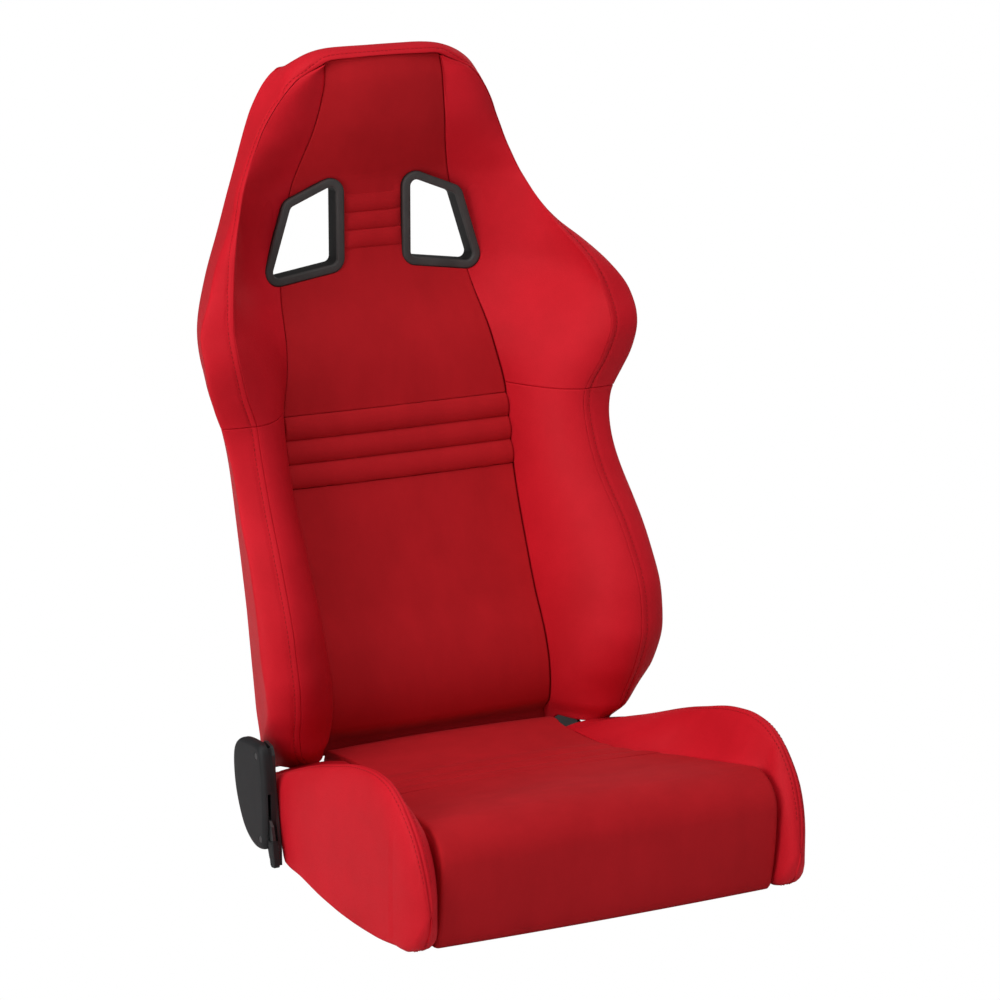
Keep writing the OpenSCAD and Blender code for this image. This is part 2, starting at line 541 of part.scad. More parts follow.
module lower_bracket(side, with_horn) {
    color(black_steel) mirrored(side) difference() {
        union() {
            along_x(arm_out, arm_out + plate) polygon(concat([[68, 12], [96, 12], [104, foot_z],
            [158, foot_z],
                [158, 44]], bracket_round, with_horn ? bracket_horn : [[88, 86]], [[76, 70], [68, 32]]));
            translate([foot_x, foot_y, foot_z]) cube([arm_out + 1 - foot_x, foot_len, plate]);
        }
        rod_x(arm_out - 1, arm_out + plate + 1, pivot_y, pivot_z, pivot_d);
        if (with_horn) {
            rod_x(arm_out - 1, arm_out + plate + 1, shaft_y, shaft_z, shaft_d + 2 * play);
            for (p = cover_screws_at) rod_x(arm_out - 1, arm_out + plate + 1, p[0], p[1], screw_d);
        }
        for (y = bracket_bolt_y) translate([mount_x / 2, y, foot_z - 1])
            cylinder(d = bracket_bolt_d, h = plate + 2);
    }
}
module bracket_bolts() {
    color(zinc) for (side = [-1, 1], y = bracket_bolt_y) translate([side * mount_x / 2, y, 0]) {
        translate([0, 0, foot_z + plate]) cylinder(d = 14, h = 5.3, $fn = 6);
        translate([0, 0, 14]) cylinder(d = bracket_bolt_d, h = foot_z + plate - 13);
    }
}
bolt_end = 9;                               // how far the bolt's end stands out beyond the arm
bolt_end_d = 9;
module pivot_bolt(side) {
    color(zinc) mirrored(side) {
        rod_x(arm_out, arm_x + plate + 0.5, pivot_y, pivot_z, pivot_d);
        rod_x(arm_x + plate + 0.4, arm_x + plate + 3, pivot_y, pivot_z, pivot_d + 9);
        rod_x(arm_x + plate + 2, arm_x + plate + bolt_end, pivot_y, pivot_z, bolt_end_d);
    }
}
// Flat spiral from the bolt's end to the pin on the arm
spiral_turns = 2.75;
function spiral(r0, r1, n) =
    [for (t = steps(n)) let (a = 360 * spiral_turns * t - 225) (r0 + (r1 - r0) * t) * [cos(a), sin(a)]];
module recline_spring(side) {
    coil_in = bolt_end_d / 2;
    coil_out = 18.2;
    strip = 1.4;
    n = 66;
    color(spring_steel) mirrored(side) along_x(arm_x + plate + 3.6, arm_x + plate + 7) at(pivot)
        polygon(concat(spiral(coil_in, coil_out, n), reversed(spiral(coil_in + strip, coil_out + strip, n))));
}

// Cover: a rounded plastic cap with a slot in its front for the lever
cover_outline = [[80, 31], [106, 26], [136, 41], [158, 75], [166, 110], [162, 136], [142, 150], [104, 155],
    [86, 151], [79, 128], [75, 90], [75, 52]];
// Lip that carries the front of the cover back to the bracket
cover_lip = [[86, 151], [79, 128], [75, 90], [75, 52], [80, 31], [83, 32], [78, 53], [78, 90], [82, 127],
    [89, 150]];
lever_slot = [48, 98];                      // height of the slot's ends
cover_out = arm_out + cover_w;
module cover_form(shrink) {
    hull() {
        along_x(arm_x + plate + 0.6, arm_out + cover_w * 0.72) offset(delta = -shrink) polygon(cover_outline);
        along_x(arm_out + cover_w * 0.72, arm_out + cover_w - shrink) offset(delta = -shrink - 5)
            polygon(cover_outline);
    }
}
module recliner_cover() {
    color(black_plastic) mirror([1, 0, 0]) difference() {
        union() {
            difference() {
                cover_form(0);
                translate([-0.01, 0, 0]) cover_form(cover_wall);
            }
            along_x(arm_out + plate + 0.3, arm_x + plate + 1) polygon(cover_lip);
            for (p = cover_screws_at) rod_x(arm_out + plate, cover_out - 1, p[0], p[1], 10);
        }
        translate([lever_x - 1, 60, lever_slot[0]]) cube([lever_t + 2, 30, lever_slot[1] - lever_slot[0]]);
        for (p = cover_screws_at) {
            rod_x(arm_out, cover_out + 1, p[0], p[1], screw_d + 0.4);
            rod_x(cover_out - 2.4, cover_out + 1, p[0], p[1], 9);
        }
    }
}
module cover_screws() {
    color(black_steel) for (p = cover_screws_at) mirror([1, 0, 0]) {
        rod_x(arm_out + 0.2, cover_out - 1.4, p[0], p[1], screw_d);
        rod_x(cover_out - 2.4, cover_out - 0.6, p[0], p[1], 8);
    }
}
// Round cap over the free pivot on the other side, pressed on the bolt's end
cap_r = 27;
module pivot_cap() {
    color(black_plastic) difference() {
        union() {
            rod_x(arm_x + plate + 1, arm_x + plate + 10, pivot_y, pivot_z, 2 * cap_r - 3);
            rod_x(arm_x + plate + 1, arm_x + plate + 8.5, pivot_y, pivot_z, 2 * cap_r);
        }
        rod_x(arm_x + plate, arm_x + plate + 7.3, pivot_y, pivot_z, 2 * cap_r - 4);
        rod_x(arm_x + plate, arm_x + plate + bolt_end, pivot_y, pivot_z, bolt_end_d);
    }
}

// Release: one shaft carries the lever, the pawl and the return spring
module release_shaft() {
    color(zinc) rod_x(-arm_x - plate - 5, -arm_out + 12, shaft_y, shaft_z, shaft_d);
}
pawl_gap = 0.4;
pawl_tip_r = 3.6;
pawl_at = 222;                              // direction of the pawl's tip from the pivot
module pawl() {
    inner = sector_r + pawl_gap;
    color(black_steel) mirror([1, 0, 0]) difference() {
        along_x(arm_x + 0.2, arm_x + plate - 0.2) hull() {
            at(shaft) circle(d = shaft_d + 6);
            at(pivot + (inner + pawl_tip_r) * [cos(pawl_at), sin(pawl_at)]) circle(r = pawl_tip_r);
        }
        rod_x(arm_x - 1, arm_x + plate + 1, pivot_y, pivot_z, 2 * inner);
        rod_x(arm_x - 1, arm_x + plate + 1, shaft_y, shaft_z, shaft_d);
    }
}
lever_x = arm_x + plate + 0.8;
lever_t = 3.5;
module lever_outline() {
    polygon([[98, 66], [76, 66], [69, 60], [66, 50], [59, 18], [67, 17], [74, 46], [80, 53], [98, 53]]);
    at(shaft) circle(r = 9);
}
module release_lever() {
    color(black_steel) mirror([1, 0, 0]) difference() {
        along_x(lever_x, lever_x + lever_t) lever_outline();
        rod_x(lever_x - 1, lever_x + lever_t + 1, shaft_y, shaft_z, shaft_d);
    }
}
module lever_grip() {
    color(black_plastic) mirror([1, 0, 0]) difference() {
        hull() {
            along_x(lever_x - 1.5, lever_x + lever_t + 1.5) polygon([[62, 44], [57, 16], [59, 13], [67, 12],
                [70, 14], [76, 42]]);
            along_x(lever_x - 2.5, lever_x + lever_t + 2.5) polygon([[64, 42], [59, 17], [67, 15], [74, 41]]);
        }
        along_x(lever_x - 0.05, lever_x + lever_t + 0.05) offset(delta = 0.05) lever_outline();
    }
}
// Torsion spring round the shaft, inside the left bracket
function helix(r, pitch, turns, per) = [for (i = [0:turns * per]) let (a = 360 * i / per)
    [pitch * i / per, r * cos(a), r * sin(a)]];
module lever_spring() {
    wire_r = 0.8;
    coil_r = shaft_d / 2 + 1.4;
    turns = 3;
    color(spring_steel) translate([-arm_out + 1, shaft_y, shaft_z])
        loft([for (q = helix(coil_r, 2.2, turns, 10)) let (u = [0, q[1], q[2]] / coil_r)
            [for (k = [0:5]) q + wire_r * (cos(60 * k) * u + sin(60 * k) * [1, 0, 0])]], [0, 0, 1]);
}

// ---- cushion ------------------------------------------------------------
cushion_split = -31;
function pad_top(y) = through([[-190, thigh_top - 2], [-150, thigh_top - 10], [-100, thigh_top - 21],
    [-31, thigh_top - 31], [41, seat_rear_top + 5], [100, seat_rear_top + 2], [155, seat_rear_top],
    [cushion_rear, seat_rear_top - 2]], y);
function pad_x(y) = through([[-262, 208], [-100, 206], [-60, 200], [-31, 186], [-10, 168], [20, 150],
    [60, 144],
    [150, 144], [cushion_rear, 143]], y);
function cushion_y_stops() = [for (i = [12:-1:0]) cushion_split + i * cushion_pitch / 4];
pad_rows = concat([cushion_rear, cushion_rear - 4, cushion_rear - 12, 165, 140, 115, 90, 68, 54],
    cushion_y_stops());
function pad_ring(y, fall) =
    let (hx = pad_x(y) - seam / 2, top = pad_top(y) - fall
        + 0.6 * channel_puff * channel(y, cushion_split + 3 * cushion_pitch, cushion_pitch, 3))
    concat([for (s = mid_stops) [s * hx, y, top - 2 * pow(s, 8) + 3 * (1 - s * s)]],
        [[hx, y, foam_base], [-hx, y, foam_base]]);
module cushion_pad() {
    fall = [14, 5, 1];
    color(suede) loft([for (i = [0:len(pad_rows) - 1]) pad_ring(pad_rows[i], i < len(fall) ? fall[i] : 0)],
        [0, -1, 0]);
}
// Thigh pad: its rings fan round the front roll, [outer point, inner point, half width]
roll_r = 46;
roll_c = [roll_r - cushion_front + 6, thigh_top - roll_r];
thigh_in = [roll_c[0] + 26, foam_base];
thigh_rows = concat(
    [for (y = [cushion_split - seam, -45, -65, -90, -120, -150, -180])
        [[y, pad_top(y)], [y, foam_base], pad_x(y)]],
    [for (a = [90:15:180])
        [roll_c + roll_r * [cos(a) * (1 + 0.1 * sin(a)), sin(a)], thigh_in + [-4, 0], 206]],
    [for (k = [1:4]) [[-cushion_front + 6 + 14 * pow(k / 4, 2), roll_c[1] - (roll_c[1] - 3) * k / 4],
        [thigh_in[0] - 4, thigh_in[1] - (thigh_in[1] - 4) * k / 4], 206]]
);
function thigh_ring(row) =
    let (o = row[0], i = row[1], n = unit(o - i), hx = row[2] - seam / 2)
    concat([for (s = mid_stops) let (q = o + n * (4 * (1 - s * s) - 5 * pow(s, 10))) [s * hx, q[0], q[1]]],
        [[hx, i[0], i[1]], [-hx, i[0], i[1]]]);
module thigh_pad() {
    color(suede) loft([for (row = thigh_rows) thigh_ring(row)], [0, -1, 0]);
}

// Cushion bolsters: a raised side with a skirt that hides the rail
end_r = 28.4;
nose = -cushion_front - 10;                 // front of the cushion bolsters
function round_end(y) = pivot_z + sqrt(max(0, end_r * end_r - pow(max(0, y - pivot_y), 2)));
function crest_top(y) = min(y > pivot_y ? round_end(y) : 999, through([[nose, 62], [nose + 4, 92],
    [nose + 9, 108], [nose + 26, bolster_top - 48], [nose + 54, bolster_top - 20],
    [nose + 83, bolster_top - 5], [nose + 118, bolster_top], [-120, bolster_top - 3],
    [-85, bolster_top - 10], [-38, bolster_top - 24], [9, bolster_top - 39],
    [83, bolster_top - 67], [pivot_y, pivot_z + end_r]], y));
function bolster_in(y) =
    y < nose + 107 ? through([[nose, 231], [nose + 17, 229], [nose + 42, 225], [nose + 72, 218],
        [nose + 107, 206.4]], y) : pad_x(y) + seam / 2;
function inner_top(y) = min(y > pivot_y ? round_end(y) - 1 : 999, through([[nose, 60], [nose + 6, 84],
    [nose + 16, 100], [nose + 32, 118], [nose + 57, 132], [-190, thigh_top - 4], [-150, thigh_top - 10],
    [-100, thigh_top - 21], [-31, thigh_top - 31], [41, seat_rear_top + 5], [100, seat_rear_top + 1],
    [pivot_y, seat_rear_top - 4]], y));
function bolster_out(y) = through([[nose, cushion_w / 2 - 26], [nose + 8, cushion_w / 2 - 18],
    [nose + 22, cushion_w / 2 - 11], [nose + 47, cushion_w / 2 - 7], [nose + 82, cushion_w / 2 - 4],
    [-110, cushion_w / 2 - 1], [-50, cushion_w / 2], [60, cushion_w / 2], [110, cushion_w / 2 - 3],
    [pivot_y, cushion_w / 2 - 4]], y);
function skirt_z(y) = through([[nose, 52], [nose + 6, 30], [nose + 16, 15], [nose + 26, 8], [nose + 36, 4],
    [-116, 2], [-35, 5], [20, 12], [64, 15], [70, 24], [84, 60], [90, foam_base]], y);
// Inner edge of the skirt: it steps up to the foam's underside behind the front block
step_y = [-204, -190];
function skirt_top(y) =
    let (low = skirt_z(y) + 0.5, u = (y - step_y[0]) / (step_y[1] - step_y[0]))
    y < step_y[0] ? low : max(low, low + min(1, u) * (foam_base - low));
skirt_t = 24;
crest_out = cushion_w / 2 - 27;             // crest seam of the cushion bolsters
bolster_rows = [156, 150, 141, pivot_y, 112, 98, 90, 84, 76, 68, 60, 40, 20, 5, -7, -19, -31, -45, -65, -90,
    -120, -155, -189, -204,
    nose + 54, nose + 40, nose + 26, nose + 16, nose + 8, nose + 3, nose];
function cushion_bolster_ring(y) =
    let (o = bolster_out(y), a = [bolster_in(y), inner_top(y)], c = [min(crest_out, o - 8), crest_top(y)],
        zb = skirt_z(y), zc = skirt_top(y), m = c[1] - 0.45 * (c[1] - zb), ix = max(a[0] + 4, o - skirt_t),
        b = a + [0.35 * (c[0] - a[0]), 0.02 * (c[1] - a[1])], d = c - [0.3 * (c[0] - a[0]), 0],
        e = c + [0.75 * (o - c[0]), 0], f = [o, m + 0.5 * (c[1] - m)])
    [for (q = concat(
        [for (t = steps(5)) bezier(a, b, d, c, t)],
        [for (t = [0.25, 0.5, 0.75, 1]) bezier(c, e, f, [o, m], t)],
        [[o, (m + zb) / 2], [o - 3, zb], [ix, zb], [ix - 2, zc], [bolster_in(y), zc]]))
        [q[0], y, q[1]]];
module cushion_bolster(side) {
    color(leather) mirrored(side) loft([for (y = bolster_rows) cushion_bolster_ring(y)], [0, -1, 0]);
}

// ---- cushion frame ------------------------------------------------------
spring_z = foam_base - wire - 0.05;
cross_z0 = spring_z - 0.05 - cross_d / 2;
front_tube_y = -150;
rear_tube_y = 168;
pan_x = mount_x / 2 + rail_w / 2;
module rail(side) {
    color(black_steel) translate([side * mount_x / 2 - rail_w / 2, -rail_len / 2, 0]) difference() {
        cube([rail_w, rail_len, rail_h]);
        translate([rail_wall, -1, rail_wall])
            cube([rail_w - 2 * rail_wall, rail_len + 2, rail_h - 2 * rail_wall]);
        for (y = [-mount_y / 2, mount_y / 2]) translate([rail_w / 2, rail_len / 2 + y, -1])
            cylinder(r = mount_r, h = rail_wall + 2);
        for (y = bracket_bolt_y) translate([rail_w / 2, rail_len / 2 + y, rail_h - rail_wall - 1])
            cylinder(d = bracket_bolt_d + 0.1, h = rail_wall + 2);
    }
}
nut_h = 8;
module weld_nuts() {
    color(zinc) for (x = [-mount_x / 2, mount_x / 2], y = [-mount_y / 2, mount_y / 2])
        translate([x, y, rail_wall]) difference() {
            cylinder(d = 14.5, h = nut_h, $fn = 6);
            translate([0, 0, -1]) cylinder(r = mount_r, h = nut_h + 2);
        }
}
module tube_risers() {
    color(black_steel) for (side = [-1, 1], y = [front_tube_y, rear_tube_y])
        difference() {
            along_x(side * mount_x / 2 - 4, side * mount_x / 2 + 4)
                polygon([[y - 17, rail_h], [y + 17, rail_h], [y + 14, cross_z0], [y - 14, cross_z0]]);
            rod_x(-mount_x / 2 - 9, mount_x / 2 + 9, y, cross_z0, cross_d + 0.1);
        }
}
module cross_tube(y, half) {
    color(black_steel) difference() {
        rod_x(-half, half, y, cross_z0, cross_d);
        rod_x(-half - 1, half + 1, y, cross_z0, cross_d - 2 * rail_wall);
    }
}
module cushion_front_tube() { cross_tube(front_tube_y, pan_x); }
module cushion_rear_tube() { cross_tube(rear_tube_y, pan_x - 4); }
module bolster_pan(side) {
    color(black_steel) mirrored(side) translate([0, -185, 0]) {
        translate([pan_x, 0, 4]) cube([pan_t, 265, foam_base - 4.1]);
        translate([pan_x, 0, foam_base - pan_t - 0.1])
            cube([cushion_w / 2 - skirt_t - 8 - pan_x, 265, pan_t]);
    }
}
module cushion_springs() {
    color(spring_steel) for (x = [-96, -32, 32, 96])
        translate([x, rear_tube_y + 6, spring_z]) rotate([0, 0, -90]) linear_extrude(wire)
            zigzag(rear_tube_y - front_tube_y + 12, spring_wave, spring_amp);
}

lumbar_pad();
waist_channel_pad();
upper_back_pad();
headrest_pad();
back_bolster(-1);  // back_bolster_left
back_bolster(1);  // back_bolster_right
shoulder_wing(-1);  // shoulder_wing_left
shoulder_wing(1);  // shoulder_wing_right
back_side_panel(-1);  // back_side_panel_left
back_side_panel(1);  // back_side_panel_right
headrest_boxing();
back_panel();
slot_bezel(-1);  // slot_bezel_left
slot_bezel(1);  // slot_bezel_right
slot_rear_bezel(-1);  // slot_rear_bezel_left
slot_rear_bezel(1);  // slot_rear_bezel_right
back_side_tube(-1);  // back_side_tube_left
back_side_tube(1);  // back_side_tube_right
headrest_bow();
back_cross_tube();
shoulder_cross_tube();
back_springs();
back_side_plate(-1);  // back_side_plate_left
back_side_plate(1);  // back_side_plate_right
cushion_pad();
thigh_pad();
cushion_bolster(-1);  // cushion_bolster_left
cushion_bolster(1);  // cushion_bolster_right
rail(-1);  // rail_left
rail(1);  // rail_right
weld_nuts();
tube_risers();
cushion_front_tube();
cushion_rear_tube();
bolster_pan(-1);  // bolster_pan_left
bolster_pan(1);  // bolster_pan_right
cushion_springs();
lower_bracket(-1, true);  // lower_bracket_left
lower_bracket(1, false);  // lower_bracket_right
bracket_bolts();
recline_arm(-1, true);  // recline_arm_left
recline_arm(1, false);  // recline_arm_right
arm_bolts();
pivot_bolt(-1);  // pivot_bolt_left
pivot_bolt(1);  // pivot_bolt_right
recline_spring(-1);  // recline_spring_left
recline_spring(1);  // recline_spring_right
recliner_cover();
cover_screws();
pivot_cap();
release_shaft();
pawl();
release_lever();
lever_grip();
lever_spring();
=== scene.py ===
import json
import math

import bmesh
import bpy
import numpy as np
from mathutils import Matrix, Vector, noise


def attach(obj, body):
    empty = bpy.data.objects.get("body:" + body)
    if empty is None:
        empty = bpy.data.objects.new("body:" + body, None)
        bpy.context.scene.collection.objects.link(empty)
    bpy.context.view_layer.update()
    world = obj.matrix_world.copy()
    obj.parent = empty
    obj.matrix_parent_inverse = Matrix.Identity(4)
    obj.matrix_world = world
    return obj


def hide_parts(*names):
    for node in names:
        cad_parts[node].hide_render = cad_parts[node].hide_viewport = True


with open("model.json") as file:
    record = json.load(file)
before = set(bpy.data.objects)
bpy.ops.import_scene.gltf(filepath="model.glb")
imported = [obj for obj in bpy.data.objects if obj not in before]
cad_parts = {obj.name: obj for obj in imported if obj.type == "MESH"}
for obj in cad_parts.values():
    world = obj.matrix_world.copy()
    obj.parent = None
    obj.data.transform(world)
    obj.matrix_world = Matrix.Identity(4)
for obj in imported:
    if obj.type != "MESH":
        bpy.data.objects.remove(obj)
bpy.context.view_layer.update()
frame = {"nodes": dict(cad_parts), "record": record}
print("frame loaded")

mm = 0.001
mirror = [-1, 1, 1]
seamEdge = [1, 0.997, 0.992, 0.984, 0.972, 0.955, 0.93]

# curves, in millimetres


def through(table, t):
    # smooth curve through [position, value] pairs, level beyond both ends
    n = len(table)
    i = 0
    while i < n - 2 and t >= table[i + 1][0]:
        i += 1
    h = table[i + 1][0] - table[i][0]
    u = min(1.0, max(0.0, (t - table[i][0]) / h))

    def rate(k):
        a, b = max(k - 1, 0), min(k + 1, n - 1)
        return (table[b][1] - table[a][1]) / (table[b][0] - table[a][0])

    return ((2 * u ** 3 - 3 * u ** 2 + 1) * table[i][1] + (u ** 3 - 2 * u ** 2 + u) * h * rate(i)
            + (3 * u ** 2 - 2 * u ** 3) * table[i + 1][1] + (u ** 3 - u ** 2) * h * rate(i + 1))


def bezier(a, b, c, d, t):
    a, b, c, d = (np.array(p, float) for p in (a, b, c, d))
    return (1 - t) ** 3 * a + 3 * (1 - t) ** 2 * t * b + 3 * (1 - t) * t ** 2 * c + t ** 3 * d


def bothEnds(edge, middle):
    # column positions from -1 to 1, crowded at both edges
    return [-e for e in edge] + middle + edge[::-1]


def spline(points, closed, per):
    # points or whole rings refined along their run, which passes smoothly through each of them
    out = []
    n = len(points)
    for i in range(n if closed else n - 1):
        near = [(i + k) % n if closed else min(max(i + k, 0), n - 1) for k in (-1, 0, 1, 2)]
        p0, p1, p2, p3 = (points[k] for k in near)
        for k in range(per):
            u = k / per
            out.append(0.5 * (2 * p1 + (p2 - p0) * u + (2 * p0 - 5 * p1 + 4 * p2 - p3) * u ** 2
                              + (3 * p1 - p0 - 3 * p2 + p3) * u ** 3))
    return out if closed else out + [points[-1]]


def rise(value, start, width):
    # from 0 at start to 1 a width further on; a negative width runs the other way
    return np.clip((value - start) / width, 0, 1)


def eased(u):
    return u * u * (3 - 2 * u)


def stops(a, b, step, crowd=(0.4, 1, 1.8, 2.8, 4.2, 6)):
    # evenly spaced positions, crowded towards both ends where a seam rolls the cloth under
    n = max(2, round((abs(b - a) - 16) / step))
    sign = 1 if b > a else -1
    mid = [a + sign * (8 + (abs(b - a) - 16) * k / n) for k in range(n + 1)]
    return [a] + [a + sign * c for c in crowd] + mid + [b - sign * c for c in reversed(crowd)] + [b]


# the backrest's sections

back = {
    "front": [[88, 206], [106, 203], [125, 184], [165, 178], [210, 191], [260, 220], [330, 257], [400, 285],
        [460, 299], [530, 309], [570, 323], [620, 354], [660, 368], [750, 372], [785, 361], [830, 342],
        [880, 332], [910, 336]],
    "panel": [[97, 155], [106, 153], [125, 149.5], [165, 147], [250, 147], [330, 150], [487, 150],
        [543, 140], [634, 126], [700, 115], [750, 106], [809, 91], [862, 81], [910, 76]],
    "crestX": [[97, 188], [106, 194], [112, 202], [122, 211], [144, 217], [180, 222], [230, 228],
        [283, 229], [346, 225], [406, 218], [460, 216], [500, 219], [542, 236], [592, 247], [650, 237],
        [700, 211], [746, 189], [784, 173], [833, 153], [860, 139], [879, 125], [893, 109], [901, 89],
        [908, 72]],
    "crestLift": [[106, 63], [144, 62], [180, 80], [230, 109], [283, 128], [346, 122], [406, 97], [460, 81],
        [500, 80], [542, 99], [580, 120], [603, 126], [650, 121], [699, 76], [746, 43], [784, 21], [809, 9],
        [833, 1], [908, 5]],
    "sideX": [[97, 228], [106, 234], [112, 237], [122, 241], [135, 246], [150, 250], [180, 257], [225, 265],
        [270, 267], [325, 263], [380, 257], [440, 252], [490, 258], [520, 270], [550, 281], [592, 287],
        [620, 283], [650, 265], [675, 245], [700, 220], [725, 202], [750, 191], [775, 180], [800, 169],
        [825, 159], [852, 147], [875, 133], [893, 120], [908, 97]],
    "sideBack": [[106, 56], [120, 48], [150, 30], [180, 19], [270, 18], [380, 9], [500, 7], [592, 9],
        [640, 7], [700, 17], [750, 13], [800, 13], [852, 11], [893, 17], [908, 21]],
    "rearX": [[106, 200], [130, 208], [180, 210], [270, 206], [380, 202], [440, 204], [500, 214],
        [550, 226], [592, 227], [650, 213], [700, 197], [750, 182], [800, 166], [852, 148], [875, 136],
        [893, 122], [908, 104]],
    "rearY": [[106, 262], [165, 266], [250, 291], [380, 338], [500, 366], [590, 382], [640, 388],
        [700, 390], [775, 390], [820, 392], [870, 391], [908, 384]],
    "foam": [[106, 34], [330, 32], [400, 28.5], [560, 28], [600, 22], [640, 10], [660, 6], [765, 6],
        [790, 14], [830, 22], [908, 24]],
    "hollow": [[480, 0], [592, 14], [650, 29], [700, 32], [750, 27], [765, 21.5], [800, 15], [850, 0],
        [908, 0]],
    "crown": [[106, 8], [540, 8], [620, -7.5], [790, -7.5], [850, 3], [908, 5]],
    "faceA": [[106, 0.16], [450, 0.16], [592, 0.35], [650, 0.5], [908, 0.4]],
    "faceB": [[106, 0.4], [450, 0.4], [592, 0.1], [650, -0.06], [760, -0.05], [908, 0.1]],
    "faceC": [[106, 0.52], [450, 0.52], [592, 0.72], [650, 0.88], [908, 0.8]],
    "faceD": [[106, 0.92], [450, 0.92], [592, 0.75], [650, 0.55], [908, 0.7]],
    "bottom": 106, "low": 102, "waist": 500, "seatTop": 920, "seam": 0.3, "rootMin": 189,
    "channelTop": 487, "channelPitch": 28.5, "channelCount": 3, "channelPuff": 6,
    "neckTop": 738, "neckPitch": 22, "neckCount": 3, "neckHalf": 38.5,
    "headBase": 772, "headArch": 3, "wingPuff": 5, "crestShare": 0.375,
    "bulge": [[88, 4], [380, 4], [410, 3], [735, 3], [800, 7], [908, 7]],
}


def backAt(key, z):
    return through(back[key], z)


def panelPoint(z, t):
    # across the front face of a bolster or wing, from the middle panel's seam to the crest
    a = np.array([backAt("panel", z), backAt("front", z)])
    c = np.array([backAt("crestX", z), backAt("front", z) - backAt("crestLift", z)])
    d = c - a
    q = bezier(a, a + [backAt("faceA", z) * d[0], backAt("faceB", z) * d[1]],
               a + [backAt("faceC", z) * d[0], backAt("faceD", z) * d[1]], c, t)
    return [q[0], q[1] - back["wingPuff"] * math.sin(math.pi * t), z]


def sidePoint(z, t):
    # round the side, from the crest over the widest point to the rear edge
    crest = [backAt("crestX", z), backAt("front", z) - backAt("crestLift", z)]
    wide = np.array([backAt("sideX", z), crest[1] + backAt("sideBack", z)])
    end = np.array([backAt("rearX", z), backAt("rearY", z)])
    share = back["crestShare"]
    if t <= share:
        u = t / share * math.pi / 2
        d = wide - crest
        return [crest[0] + d[0] * math.sin(u), wide[1] - d[1] * math.cos(u), z]
    v = (t - share) / (1 - share)
    q = bezier(wide, wide + [0, 0.03 * np.linalg.norm(end - wide)], end + 0.3 * (wide - end), end, v)
    return [q[0], q[1], z]


def rootX(z):
    x = min(backAt("crestX", z) - 14, backAt("rearX", z) - 4)
    return max(back["rootMin"], x) if z < back["waist"] else x


def rootY(z):
    return backAt("front", z) + backAt("foam", z)


def puff(s, top, pitch, count):
    # 0 on each sewn line and outside the run of channels, 1 between two lines
    u = (top - s) / pitch
    if u <= 0 or u >= count:
        return 0.0
    return abs(math.sin(math.pi * (u - math.floor(u)))) ** 0.62


def midY(x, z):
    k = back
    y = backAt("front", z) - k["channelPuff"] * puff(z, k["channelTop"], k["channelPitch"], k["channelCount"])
    edge = rise(abs(x), k["neckHalf"] + 2, -8)
    return y - 0.6 * k["channelPuff"] * edge * puff(z, k["neckTop"], k["neckPitch"], k["neckCount"])


# mesh making


def place(name, data):
    made = bpy.data.objects.new(name, data)
    bpy.context.scene.collection.objects.link(made)
    return made


def meshObject(name, verts, faces):
    mesh = bpy.data.meshes.new(name)
    mesh.from_pydata([[c * mm for c in v] for v in verts], [], faces)
    mesh.validate()
    return place(name, mesh)


def soften(piece, angle):
    for poly in piece.data.polygons:
        poly.use_smooth = True
    piece.data.set_sharp_from_angle(angle=math.radians(angle))


def makePiece(name, verts, faces, paint, body, replaced=(), smooth=50):
    piece = meshObject(name, verts, faces)
    piece.data.materials.append(paint.material)
    soften(piece, smooth)
    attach(piece, body)
    if replaced:
        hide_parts(*replaced)
    outward(piece)
    return piece


def normalsOf(grid, inside):
    # unit normals of a grid, all pointing away from a point inside
    dj = np.gradient(grid, axis=1)
    di = np.gradient(grid, axis=0)
    n = np.cross(dj, di)
    n /= np.maximum(np.linalg.norm(n, axis=2, keepdims=True), 1e-9)
    out = grid - inside
    flip = np.sign((n * out).sum(axis=(1, 2)).mean()) or 1
    return n * flip


def roll(d, r):
    # how far cloth is drawn under at a distance d from its seam; r may differ from row to row
    r = np.maximum(r, 1e-6)
    u = np.clip(1 - d / r, 0, 1)
    return r * (1 - np.sqrt(np.maximum(0, 1 - u * u)))


def lengths(grid, axis):
    # the distance run along each row or column up to each point
    step = np.linalg.norm(np.diff(grid, axis=axis), axis=2)
    run = np.cumsum(step, axis=axis)
    pad = [(0, 0), (0, 0)]
    pad[axis] = (1, 0)
    return np.pad(run, pad)


def waves(grid, seed, scale, height):
    out = np.zeros(grid.shape[:2])
    for i in range(grid.shape[0]):
        for j in range(grid.shape[1]):
            p = grid[i, j] / scale
            out[i, j] = height * noise.noise(Vector((p[0] + seed, p[1], p[2])))
    return out


